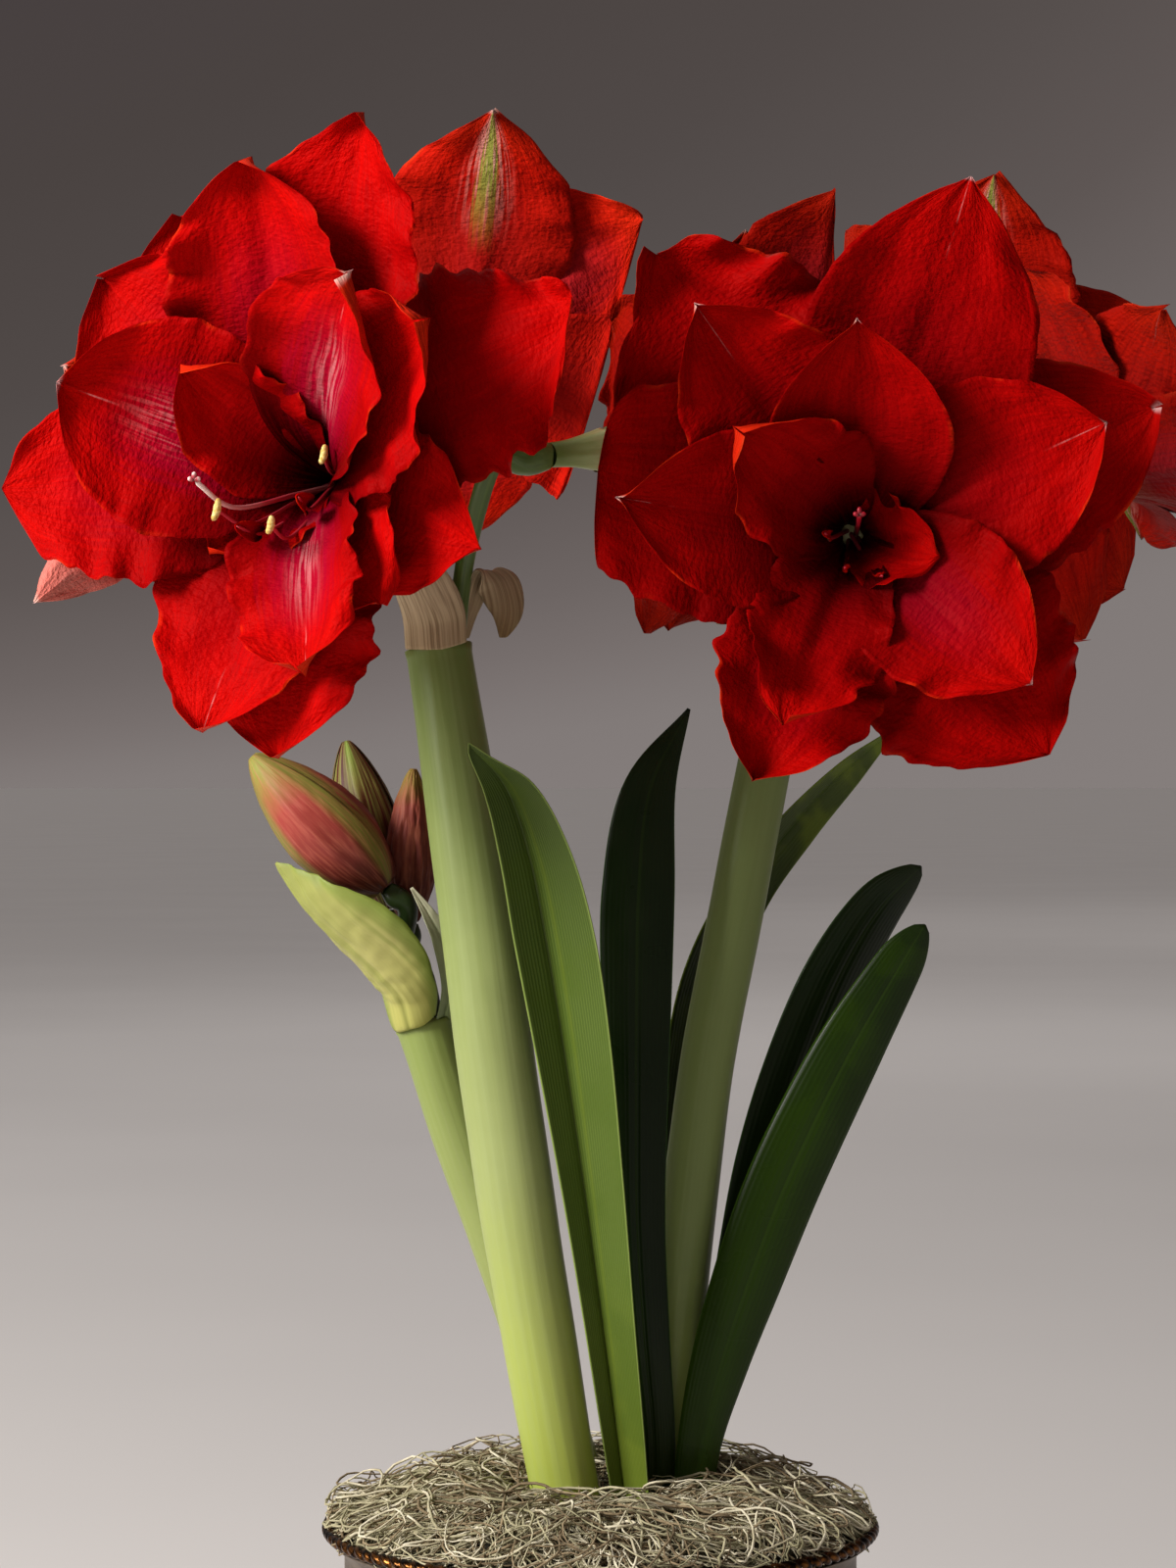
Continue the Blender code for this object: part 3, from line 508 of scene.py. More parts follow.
# Petal velvet: cells like small cones swallow the shine. The red deepens to nearly black in the throat, partly
# its own colour and partly painted shade. Some petals carry a painted magenta sheen.
PETAL = PetalFace(
    "petal velvet, inner face",
    (
        *((0.08, "#0c0000"), (0.22, "#1c0001"), (0.36, "#4a0003")),
        *((0.53, "#8c0304"), (0.82, "#b40504"), (1.0, "#be0804")),
    ),
    vein_and_shade="#780003",
    glow_margin="#ec3c12",
    painted_sheen="#9c0830",
    pale="#f2c4c2",
    green="#98a248",
)
# Petal back: a green-white claw, then a slightly duller, more orange red with stronger veins.
REVERSE = PetalFace(
    "petal skin, outer face",
    ((0.10, "#b4bc84"), (0.22, "#a85c4c"), (0.36, "#9c120c"), (0.80, "#cc1a0a"), (1.0, "#d82a0e")),
    vein_and_shade="#7c0806",
    glow_margin="#e8461c",
    painted_sheen="#b83048",
    pale="#e8bcae",
    green="#909a44",
    vein_share=0.4,
    pucker_depth_mm=1.5,
)
# Young green-white flower tube, ribbed where the six petals join, and its floor, which no light reaches,
# painted near black as painted shade.
TUBE = StreakedSkin("flower tube skin", "#6f8340", "#98a468", "#b8b080", "#7c8c46", 1.6, 20)
THROAT_SHADE = MottledSkin("throat floor, painted shade", "#0a0101", "#200404", 1.2, 0.4, 0.25, 0.6)
# Threads of the flower: wine red with a wet shine, paler towards the tip. Pollen is a dry, pale yellow meal.
FILAMENT = StreakedSkin("filament skin", "#5a0a10", "#8e0a18", "#b01c2c", "#c84858", 1.0, 20)
STYLE = StreakedSkin("style skin", "#5a0a10", "#b02838", "#f4e4dc", "#e8b0a8", 1.0, 20, 0.2)
STYLE_RED = StreakedSkin("style skin, red", "#3a0408", "#8c1020", "#b8182c", "#c84858", 1.0, 20, 0.2)
POLLEN = MottledSkin("pollen", "#c8a048", "#ecd88c", 1.2, 0.4, 0.25, 0.95)
# Waxy bloom on a flower stalk: a soft sheen on glaucous green, over a yellower foot and under a darker top.
SCAPE_STOUT = StreakedSkin(
    *("scape skin, stout", "#a2ae48", "#929c60", "#6c7c42", "#a4b07c"),
    streak_mm=1.5,
    streak_length_mm=120,
    streak_share=0.12,
    foot_end=0.10,
    middle_end=0.45,
    gloss=0.25,
)
SCAPE_SLIM = StreakedSkin(
    *("scape skin, slim", "#a4b45c", "#7d8c50", "#6c7a46", "#8c9a64"),
    streak_mm=1.4,
    streak_length_mm=120,
    streak_share=0.12,
    foot_end=0.10,
    middle_end=0.35,
    gloss=0.25,
)
SCAPE_YOUNG = StreakedSkin(
    *("scape skin, young", "#8c9650", "#8a9456", "#7c8a48", "#9aa072"),
    streak_mm=1.4,
    streak_length_mm=90,
    streak_share=0.12,
    gloss=0.25,
)
# Flower stalks: the same skin, smoother and darker green. The young stalks between the buds are painted nearly
# black: painted shade.
PEDICEL = StreakedSkin("pedicel skin", "#4c6224", "#48602a", "#5a7234", "#6e8444", 1.2, 20)
BUD_STALK_SHADE = StreakedSkin("pedicel skin, young, painted shade", "#16240c", "#1c2c10", "#2c3c1a", "#2c4020", 1.2, 20)
# Leaf cuticle: glossy over parallel ribs. The young leaf is yellow-green, the old ones almost black.
LEAF_YOUNG = LeafSkin(
    *("leaf cuticle, young", "#5c6a1a", "#46581c", "#3a4c1c", "#7c8c40", "#84984a"),
    ribs=30,
    rib_share=0.22,
    roughness=0.42,
    gloss=0.2,
)
LEAF_DARK = LeafSkin(
    *("leaf cuticle, mature", "#26380a", "#101e06", "#141f06", "#1a3208", "#34561a"),
    ribs=16,
    rib_share=0.08,
    roughness=0.32,
    gloss=0.16,
)
# A lighter copy of the mature green for the leaf that faces the key light: painted light.
LEAF_PAINTED_LIT = LeafSkin(
    *("leaf cuticle, in the light", "#30480c", "#243806", "#182806", "#2c480a", "#3c5c14"),
    ribs=16,
    rib_share=0.12,
    roughness=0.28,
    gloss=0.14,
)
# Lighter towards the top, where light shines through the leaf: painted light.
LEAF_BACK = LeafSkin(
    *("leaf cuticle, light through it", "#2c420e", "#16280a", "#5e6e18", "#4c6014", "#6c8020"),
    ribs=16,
    rib_share=0.1,
    roughness=0.36,
    gloss=0.2,
)
# Bud skin: satin. The blushed tepals are red down the middle and olive at the sides and the tip.
BUD_BLUSHED = StreakedSkin(
    *("bud skin, blushed", "#4c1c14", "#983c34", "#84883a", "#b46450"),
    streak_mm=1.1,
    streak_length_mm=12,
    streak_share=0.4,
    foot_end=0.06,
    middle_end=0.70,
    roughness=0.5,
    ridge_mm=0.3,
    gloss=0.2,
    side="#747030",
    side_from=0.56,
)
BUD_STRIPED = StreakedSkin(
    *("bud skin, striped", "#340c08", "#5c3420", "#74883a", "#989c50"),
    streak_mm=1.2,
    streak_length_mm=40,
    streak_share=0.5,
    foot_end=0.10,
    middle_end=0.70,
    roughness=0.5,
    ridge_mm=0.3,
    gloss=0.2,
    side="#481612",
    side_from=0.22,
)
BUD_WRINKLED = StreakedSkin(
    *("bud skin, withering", "#4c1c14", "#78342a", "#80702e", "#a05c44"),
    streak_mm=1.6,
    streak_length_mm=9,
    streak_share=0.5,
    foot_end=0.10,
    middle_end=0.80,
    roughness=0.6,
    ridge_mm=0.9,
    gloss=0.2,
)
# Fresh spathe: soft yellow-green with lengthwise creases. The bracteole beside it is thin and whitish.
VALVE = StreakedSkin(
    *("spathe, fresh", "#aaa858", "#aca864", "#8a9048", "#868c44"),
    streak_mm=2.6,
    streak_length_mm=46,
    streak_share=0.6,
    foot_end=0.02,
    middle_end=0.50,
    roughness=0.5,
    ridge_mm=0.5,
    gloss=0.25,
    side="#7c8a3c",
    side_from=0.74,
)
BRACTEOLE = StreakedSkin(
    "bracteole, pale", "#7c8a5c", "#aab08c", "#c8c4a8", "#909a74", 1.0, 20, 0.4, gloss=0.2
)
# Dead spathe: papery tan with darker veins along it.
PAPERY = StreakedSkin(
    *("spathe, dried", "#a89270", "#bca888", "#86704c", "#6c5438"),
    streak_mm=0.7,
    streak_length_mm=26,
    streak_share=0.7,
    foot_end=0.04,
    middle_end=0.5,
    roughness=0.75,
    ridge_mm=0.35,
    gloss=0.2,
)
# Peat and bark crumbs, dull and nearly black, and the dry brown scales of the bulb.
SOIL = MottledSkin("potting soil", "#241810", "#3c2a1c", 6, 2.2, 1.8, 0.95)
TUNIC = MottledSkin("bulb tunic", "#5a3018", "#8c5a34", 9, 1.5, 0.6, 0.7)
# Dried hanging moss: matt grey-green strands, some bleached and some browned.
MOSS_BED = MottledSkin("moss, packed", "#2e2a1c", "#6a6448", 4, 1.2, 2.5, 0.95)
MOSS_GREY = MottledSkin("moss strand, grey-green", "#8a8464", "#b6ae8e", 9, 0.8, 0.2, 0.85)
MOSS_LIGHT = MottledSkin("moss strand, bleached", "#aca284", "#d8d0b8", 9, 0.8, 0.2, 0.8)
MOSS_BROWN = MottledSkin("moss strand, brown", "#62523a", "#948264", 9, 0.8, 0.2, 0.9)
# Spun bronze gone dull: broad soft highlights with a brown cast.
BRONZE = MottledSkin("patinated bronze", "#5c5044", "#7e7060", 14, 1.0, 0.06, 0.45, 0.7)
# Worn copper: near black, mottled at random with brighter copper.
COPPER = MottledSkin("copper, oxidised and worn", "#140d09", "#6c4420", 3, 1.2, 0.1, 0.24, 1.0, 0.10)
PAPER = Paper("studio paper")


# Meshes


def add_object(name: str, data: Any) -> bpy.types.Object:
    """Adds an object to the scene.

    Args:
        name: its name.
        data: its mesh, curve, light or camera.

    Returns:
        The object.
    """
    made = bpy.data.objects.new(name, data)
    bpy.context.scene.collection.objects.link(made)
    return made


def ride_along(made: bpy.types.Object, replaced: Sequence[str] = ()) -> None:
    """Makes an object a piece of the part.

    Args:
        made: the object.
        replaced: the CAD nodes that it stands for.
    """
    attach(made, BODY)
    if replaced:
        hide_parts(*replaced)
    log.info("%s: %d faces", made.name, len(made.data.polygons))


class Draft:
    """A mesh in the making, whose vertices carry their place on the piece's skin."""

    merge_distance: float = 0.000002

    def __init__(self) -> None:
        """Starts an empty mesh with its attribute layers."""
        self.shape = bmesh.new()
        layers = self.shape.verts.layers.float_vector
        self.span = layers.new("span")
        self.skin = layers.new("skin")
        self.traits = layers.new("traits")
        self.body = self.shape.verts.layers.deform.verify()

    def sheet(
        self,
        columns: int,
        rows: int,
        place: Surface,
        traits: Point = NO_TRAITS,
        fullness: Relief = everywhere,
    ) -> list[bmesh.types.BMVert]:
        """Adds a grid bent to a surface.

        Args:
            columns: faces across.
            rows: faces along.
            place: gives the point and the skin place for (along 0 to 1, across -1 to 1).
            traits: three numbers that the finish reads, the same all over the sheet.
            fullness: the share of the full wall thickness at (along, across).

        Returns:
            The sheet's vertices.
        """
        made = bmesh.ops.create_grid(self.shape, x_segments=columns, y_segments=rows, size=0.5)["verts"]
        for vertex in made:
            s, t = vertex.co.y + 0.5, vertex.co.x * 2
            vertex.co, vertex[self.skin] = place(s, t)
            vertex[self.span] = (t, s, 0)
            vertex[self.traits] = traits
            vertex[self.body][0] = fullness(s, t)
        return made

    def closed(self, sides: int, rows: int, place: Surface) -> None:
        """Adds a grid that wraps round on itself: its seam and its pointed ends are merged shut.

        Args:
            sides: faces round.
            rows: faces along.
            place: gives the point and the skin place for (along 0 to 1, round -1 to 1).
        """
        verts = self.sheet(sides, rows, place)
        faces = {face for vertex in verts for face in vertex.link_faces}
        bmesh.ops.remove_doubles(self.shape, verts=verts, dist=self.merge_distance)
        bmesh.ops.recalc_face_normals(self.shape, faces=[face for face in faces if face.is_valid])

    def tube(
        self,
        points: Sequence[Vector],
        radii: Sequence[float],
        sides: int,
        rows: int,
        ends: tuple[float, float] = (0.02, 0.02),
        relief: Relief = nowhere,
    ) -> None:
        """Adds a closed stalk along a smooth line, with rounded ends.

        Args:
            points: the centre line.
            radii: the radius at each point.
            sides: faces round.
            rows: faces along.
            ends: the share of the length over which each end rounds off.
            relief: metres that the surface stands out at (along, angle round).
        """
        stations = self.frames(points, rows)
        length = (points[-1] - points[0]).length
        seed = points[0].x * 7

        def place(s: float, t: float) -> tuple[Vector, Vector]:
            """Finds a place on the stalk.

            Args:
                s: the share along.
                t: the share round, from -1 to 1.

            Returns:
                The point and its place on the skin.
            """
            centre, side, across = stations[round(s * rows)]
            around = math.pi * t
            full = spline_value(radii, s)
            radius = full + relief(s, around)
            for share, end in ((s, ends[0]), (1 - s, ends[1])):
                if share < end:
                    radius *= math.sqrt(max(1 - (1 - share / end) ** 2, 0.0))
            spoke = side * math.cos(around) + across * math.sin(around)
            skin = Vector((full * math.cos(around), full * math.sin(around), s * length + seed))
            return centre + spoke * radius, skin

        self.closed(sides, rows, place)

    @staticmethod
    def frames(points: Sequence[Vector], rows: int) -> list[tuple[Vector, Vector, Vector]]:
        """Carries a frame along a smooth line without twist.

        Args:
            points: the line.
            rows: how many spans to cut it in.

        Returns:
            The centre and two directions across the line, at each station.
        """
        centres = [spline_value(points, i / rows) for i in range(rows + 1)]
        side, made = Vector((1, 0.02, 0.03)), []
        for i, centre in enumerate(centres):
            ahead = (centres[min(i + 1, rows)] - centres[max(i - 1, 0)]).normalized()
            side = (side - ahead * side.dot(ahead)).normalized()
            made.append((centre, side, ahead.cross(side)))
        return made

    def finish(
        self, name: str, finishes: Sequence[Finish], slot: str, replaced: Sequence[str] = ()
    ) -> bpy.types.Object:
        """Makes the drafted mesh an object that rides with the part.

        Args:
            name: the piece's name.
            finishes: its finishes, one for each material index.
            slot: the record's material slot for its finish; not used.
            replaced: the CAD nodes that it stands for.

        Returns:
            The object.
        """
        for face in self.shape.faces:
            face.smooth = True
        mesh = bpy.data.meshes.new(name)
        self.shape.to_mesh(mesh)
        self.shape.free()
        for one in finishes:
            mesh.materials.append(one.material())
        made = add_object(name, mesh)
        made.vertex_groups.new(name="body")
        ride_along(made, replaced)
        return made


def thicken(piece: bpy.types.Object, thickness: float, back: int = 0) -> None:
    """Gives a sheet its wall.

    Args:
        piece: the sheet.
        thickness: the full wall, which the body group thins towards the edges.
        back: how many material slots on the far side's finish is.
    """
    wall = piece.modifiers.new("wall", "SOLIDIFY")
    wall.thickness = thickness
    wall.offset = 0
    wall.vertex_group = "body"
    wall.thickness_vertex_group = 0.0
    wall.material_offset = back
    wall.material_offset_rim = 0


# Blooms


class Marking(Enum):
    """How a petal is marked: the share of its painted magenta sheen, and its pale line or, from 0.4 up, its
    green midrib.
    """

    PLAIN = (0.12, 0.0)
    SOFT_SHEEN = (0.45, 0.0)
    STRONG_SHEEN = (1.0, 0.3)
    LINED = (0.15, 0.35)
    GREEN = (0.15, 1.0)


@dataclass(frozen=True)
class Petal:
    """One tepal. clock is in degrees, seen from the front. depth counts the layers behind it."""

    clock: float
    reach: float
    width: float
    depth: float
    cup: float = 0.25
    fold: float = 0.10
    wave: float = 0.30
    lean: float = 0.0
    curl: float = 0.0
    sway: float = 0.0
    marking: Marking = Marking.PLAIN
    shade: float = 1.0
    point: float = 0.75
    frill: float = 1.0
    bleach: float = 0.0

    widest: float = 0.58
    claw: float = 0.0022
    end: float = 0.0004

    def half_width(self, s: float) -> float:
        """An obovate tepal: a narrow claw, widest past the middle, and a round or pointed end.

        Args:
            s: the share along.

        Returns:
            Half the width there.
        """
        if s < self.widest:
            lobe = math.sin(math.pi / 2 * s / self.widest) ** 1.5
        else:
            past = (s - self.widest) / (1 - self.widest)
            lobe = max(1 - past ** (3.3 - 1.3 * self.point), 0.0) ** self.point
        return self.claw * (1 - s) + self.width / 2 * lobe + self.end

    def overlaps(self, other: "Petal") -> bool:
        """Tells whether the two petals, seen from the front, lie over each other.

        Args:
            other: the other petal.

        Returns:
            True when they do.
        """
        apart = abs((self.clock - other.clock + 180) % 360 - 180)
        reach = math.atan(self.width / 0.1) + math.atan(other.width / 0.1)
        return apart < math.degrees(reach)


UNSTRIPED = (Marking.PLAIN, Marking.SOFT_SHEEN, Marking.LINED)


def whorls(
    turn: float, seed: int, scale: float = 1.0, deeper: float = 0.0, striped: Optional[int] = None
) -> tuple[Petal, ...]:
    """The petals of a double bloom in four whorls.

    Args:
        turn: degrees that the whole bloom is turned by.
        seed: sets how the bloom varies.
        scale: its size.
        deeper: extra layers behind it, for a bloom that opens less.
        striped: the outer petal that has a green midrib.

    Returns:
        The petals, from the outer whorl in.
    """
    draw, dress = random.Random(seed), random.Random(seed + 1000)
    # Each whorl's number of petals, first clock, reach, width, depth and curl, and its striped petal.
    layers = (
        (3, 0, 0.098, 0.076, 0.4, -0.004, striped),
        (3, 60, 0.090, 0.070, 1.9, -0.002, None),
        (1, 20, 0.068, 0.056, 3.4, 0.004, None),
        (1, 200, 0.060, 0.052, 4.6, 0.004, None),
    )
    return tuple(
        Petal(
            clock=turn + first + 360 * i / count + draw.uniform(-6, 6),
            reach=scale * reach * draw.uniform(0.94, 1.06),
            width=scale * width * draw.uniform(0.94, 1.06),
            depth=depth + deeper,
            cup=0.15,
            wave=0.15,
            lean=draw.uniform(-0.12, 0.12),
            curl=curl,
            sway=draw.uniform(-0.004, 0.004),
            marking=Marking.GREEN if i == green else dress.choice(UNSTRIPED),
            shade=dress.uniform(0.85, 1.0),
            point=dress.uniform(0.6, 0.9),
            frill=dress.uniform(0.8, 1.6),
        )
        for count, first, reach, width, depth, curl, green in layers
        for i in range(count)
    )


LEFT_FRONT_PETALS = (
    Petal(65, 0.125, 0.072, 1.0, curl=-0.004, frill=3.2, point=0.85),
    Petal(330, 0.106, 0.082, 1.2, curl=-0.006, frill=2.4, point=0.6),
    Petal(112, 0.076, 0.062, 1.8, curl=-0.006, frill=1.5),
    Petal(181, 0.098, 0.070, 2.0, frill=2.0, point=0.65),
    Petal(196, 0.093, 0.066, 2.6, marking=Marking.LINED, frill=1.6, point=0.6),
    Petal(313, 0.100, 0.084, 2.2, frill=3.0, marking=Marking.SOFT_SHEEN, point=0.6),
    Petal(18, 0.121, 0.078, 2.3, fold=0.5, frill=1.6, point=0.8),
    Petal(267, 0.104, 0.074, 2.8, marking=Marking.SOFT_SHEEN, frill=2.1, point=0.6),
    Petal(138, 0.064, 0.052, 3.2, wave=0.6, frill=1.8, point=0.6),
    Petal(0, 0.100, 0.074, 3.4, fold=0.8, marking=Marking.SOFT_SHEEN, frill=1.3, point=0.6),
    Petal(60, 0.083, 0.066, 3.6, frill=1.3, point=0.62),
    Petal(40, 0.074, 0.064, 4.2, cup=0.6, marking=Marking.STRONG_SHEEN, point=0.62),
    Petal(162, 0.076, 0.056, 4.0, wave=0.6, fold=0.5, marking=Marking.STRONG_SHEEN, frill=1.2, point=0.6),
    Petal(291, 0.077, 0.080, 4.4, cup=0.6, marking=Marking.STRONG_SHEEN, frill=0.7, point=0.6),
    Petal(222, 0.038, 0.044, 6.0, cup=0.6, marking=Marking.SOFT_SHEEN, frill=1.6, point=0.6),
    Petal(318, 0.044, 0.050, 6.2, cup=0.9, frill=1.1, point=0.6),
)

RIGHT_FRONT_PETALS = (
    Petal(322, 0.126, 0.086, 1.0, curl=-0.005, frill=2.4),
    Petal(67, 0.113, 0.070, 1.0, curl=-0.004),
    Petal(139, 0.098, 0.078, 1.6, frill=2.4, point=0.62),
    Petal(283, 0.107, 0.078, 2.0, frill=1.5, point=0.65),
    Petal(17, 0.126, 0.080, 2.1, curl=-0.004, marking=Marking.LINED, frill=0.6, point=0.85),
    Petal(204, 0.090, 0.062, 2.6, fold=0.6, marking=Marking.SOFT_SHEEN, frill=2.0, point=0.65),
    Petal(324, 0.096, 0.062, 3.0, fold=0.5, marking=Marking.LINED, frill=0.7),
    Petal(65, 0.090, 0.068, 3.4, cup=0.5, marking=Marking.LINED, frill=0.6, point=0.7),
    Petal(279, 0.083, 0.062, 4.0, cup=0.5, marking=Marking.LINED, frill=0.3, point=0.95),
    Petal(131, 0.075, 0.062, 4.0, cup=0.5, marking=Marking.SOFT_SHEEN, frill=0.9),
    Petal(203, 0.068, 0.048, 6.4, wave=0.9, frill=2.2, point=0.6),
    Petal(358, 0.072, 0.066, 4.8, cup=0.6, frill=0.3, point=0.9),
    Petal(310, 0.056, 0.050, 5.8, cup=0.8, wave=0.7, frill=1.7, point=0.65),
    Petal(104, 0.027, 0.036, 6.2, cup=0.9, wave=0.6, frill=1.6, point=0.6),
)


class StamenKind(Enum):
    """What ends a thread in the throat: a pale three-lobed stigma, an anther, or a petal-like red flap."""

    STIGMA = "stigma"
    ANTHER = "anther"
    FLAP = "flap"


@dataclass(frozen=True)
class Stamen:
    """A thread from the throat: its tip, its sag and the length of its end, all in mm."""

    kind: StamenKind
    tip: Point
    sag: float = 4.0
    length: float = 7.0


LEFT_FRONT_STAMENS = (
    Stamen(StamenKind.STIGMA, (-137, -112, 520.5), 9.0),
    Stamen(StamenKind.ANTHER, (-130, -108, 511), 8.0, 8.0),
    Stamen(StamenKind.ANTHER, (-112, -106, 506), 8.0, 6.5),
    Stamen(StamenKind.ANTHER, (-95, -92, 531), 3.0),
    Stamen(StamenKind.FLAP, (-103, -100, 516), 6.0, 16.0),
    Stamen(StamenKind.FLAP, (-124, -100, 506), 6.0, 15.0),
)
RIGHT_FRONT_STAMENS = (
    Stamen(StamenKind.STIGMA, (88, -94, 510), 1.0),
    Stamen(StamenKind.FLAP, (97, -82, 490), 3.0, 8.0),
    Stamen(StamenKind.FLAP, (84, -82, 493), 3.0),
    Stamen(StamenKind.FLAP, (100, -80, 487), 3.0),
    Stamen(StamenKind.FLAP, (77, -80, 505), 2.0, 8.0),
)


@dataclass(frozen=True)
class Bloom:
    """One double bloom: its throat and its stalk's foot in mm, the way it faces, its petals and its room."""

    name: str
    throat: Point
    axis: Point
    foot: Point
    petals: tuple[Petal, ...]
    room: float = 1.0
    columns: int = 22
    rows: int = 56
    stamens: tuple[Stamen, ...] = ()
    style: Finish = STYLE
    # A bloom that lies in the shadow of the others gets its red darkened by shade: painted shade.
    shade: float = 1.0

    petal_thickness: float = 0.0007
    flap_thickness: float = 0.0005
    layer_step: float = 1.5
    line_steps: int = 150
    line_inset: float = 0.0022
    line_inset_step: float = 0.00065
    line_back: float = -0.005
    first_lean: float = 12.0
    opening: float = 91.0
    opening_step: float = 5.8
    opening_mm: float = 40.0
    longest_mm: int = 120
    least_layer_gap: float = 0.0008
    layer_spread: float = 0.09
    spread_from: float = 0.025
    tube_length: float = 0.026
    tube_radius: float = 0.0045
    throat_radius: float = 0.0090
    throat_depth: float = 0.003
    thread_ring: float = 0.0016
    style_radii: tuple[float, ...] = (0.0011, 0.0009, 0.0008, 0.0009)
    lobe_radii: tuple[float, ...] = (0.0008, 0.0009, 0.0007)
    thread_radii: tuple[float, ...] = (0.0010, 0.0008, 0.0007, 0.0006)
    anther_radii: tuple[float, ...] = (0.0008, 0.0013, 0.0013, 0.0007)
    ovary_radius: float = 0.0062
    ovary_length: float = 0.018
    pedicel_radius: float = 0.0034
    site_ahead: float = 0.020
    bend_depth: float = 0.014
    least_gap: float = 0.0010

    nick_scales: tuple[float, float] = (45.0, 170.0)
    nick_share: float = 0.08
    droop: float = 0.14
    point_length: float = 0.0012
    point_width: float = 0.0010
    nib_width: float = 0.0008
    smoothest: float = 1.05
    groove_depth: float = 0.0011
    groove_width: float = 0.0030
    furrow_height: float = 0.0006
    broad_wave: float = 0.021
    broad_height: float = 0.0014
    fine_wave: float = 0.0085
    fine_height: float = 0.0008
    lump_height: float = 0.0015

    def directions(self) -> tuple[Vector, Vector, Vector]:
        """The bloom's directions.

        Returns:
            Its right, up and forward, as seen by someone who looks into it.
        """
        forward = Vector(self.axis).normalized()
        right = (-forward).cross(UP).normalized()
        return right, right.cross(-forward), forward

    def site(self) -> tuple[Vector, float]:
        """Where the bloom's bulk is, and its share of the room."""
        return mm(*self.throat) + self.directions()[2] * self.site_ahead, self.room

    @cached_property
    def planes(self) -> list[tuple[Vector, Vector]]:
        """The planes that the bloom bends clear of.

        Returns:
            A point of each plane and the way to the bloom's side, for every other bloom and for the buds.
        """
        site, room = self.site()
        others = [other.site() for other in BLOOMS if other.name != self.name] + [BUD_SITE]
        return [(site.lerp(one, room / (room + share)), (site - one).normalized()) for one, share in others]

    def bend_clear(self, point: Vector) -> Vector:
        """Bends a point away from each plane between this bloom and a neighbour.

        Args:
            point: a point of the bloom.

        Returns:
            The point, never on or past a plane.
        """
        for _ in range(2):
            for middle, away in self.planes:
                depth = (point - middle).dot(away)
                if depth < self.bend_depth + self.least_gap:
                    past = (depth - self.least_gap - self.bend_depth) / self.bend_depth
                    point = point + away * (self.least_gap + self.bend_depth * math.exp(past) - depth)
        return point

    def depths(self) -> list[float]:
        """Lays the petals over each other, each a whole layer in front of any earlier one that it overlaps.

        Returns:
            Each petal's depth.
        """
        depths: list[float] = []
        for i, petal in enumerate(self.petals):
            under = [depth for earlier, depth in zip(self.petals[:i], depths) if petal.overlaps(earlier)]
            depths.append(max([petal.depth, *(depth + self.layer_step for depth in under)]))
        return depths

    def layer_line(self, depth: float) -> list[Point]:
        """The line that a layer of petals follows.

        Args:
            depth: the layer's depth. Deeper layers start nearer the middle and open less.

        Returns:
            How far out, how far forward and the lean, at each millimetre.
        """
        out = self.throat_radius - self.line_inset - self.line_inset_step * depth
        forward, line = self.line_back, []
        opening = self.opening - self.opening_step * depth
        for step in range(self.line_steps):
            opened = 1 - math.exp(-((step / self.opening_mm) ** 1.7))
            lean = math.radians(self.first_lean + opening * opened)
            line.append((out, forward, lean))
            out += 0.001 * math.sin(lean)
            forward += 0.001 * math.cos(lean)
        return line

    @staticmethod
    def line_at(line: Sequence[Point], along: float) -> tuple[float, ...]:
        """Reads a layer's line.

        Args:
            line: the line, at each millimetre.
            along: the distance along it in metres.

        Returns:
            How far out, how far forward and the lean there.
        """
        place = min(max(along * 1000, 0.0), len(line) - 1.001)
        i = int(place)
        f = place - i
        return tuple(a + (b - a) * f for a, b in zip(line[i], line[i + 1]))

    def petal_surface(self, petal: Petal, depth: float, number: int) -> Surface:
        """A petal's surface: its layer's line round the throat, with its own cup, fold, ruffles and groove.

        Args:
            petal: the petal.
            depth: the layer that it lies in.
            number: its place in the bloom, which varies its ruffles.

        Returns:
            The surface, as a function of (along, across).
        """
        line = self.layer_line(depth)
        reached = (i for i, here in enumerate(line) if here[0] >= petal.reach)
        length = next(reached, self.longest_mm) / 1000
        right, up, forward = self.directions()
        throat = mm(*self.throat)
        seed = number * 3.7 + self.throat[0]

        def place(s: float, t: float) -> tuple[Vector, Vector]:
            """Finds a place on the petal.

            Args:
                s: the share along.
                t: the share across, from -1 to 1.

            Returns:
                The point and its place on the skin.
            """
            out, _, lean = self.line_at(line, s * length)
            edge = smooth(abs(t), 0.5, 1.0) * smooth(s, 0.2, 0.5)
            side = 1.7 if t > 0 else -1.7
            marks = (Vector((s * length * scale, side, seed)) for scale in self.nick_scales)
            broad, fine = (noise.noise(mark) for mark in marks)
            nick = broad + 0.75 * fine
            half = petal.half_width(s) * (1 + self.nick_share * edge * petal.frill * nick)
            aside = half * t + petal.sway * s * s
            slope = max(math.sin(lean), 0.05)
            slant = out / slope
            clock = math.radians(petal.clock) + math.atan2(aside, slant) / slope
            along = s * length + math.hypot(slant, aside) - slant - self.droop * half * t * t * s**3
            along += self.point_length * bell(half * t, self.point_width) * smooth(s, 0.95, 1.0)
            out, ahead, lean = self.line_at(line, along)
            outward = up * math.cos(clock) + right * math.sin(clock)
            front = forward * math.sin(lean) - outward * math.cos(lean)
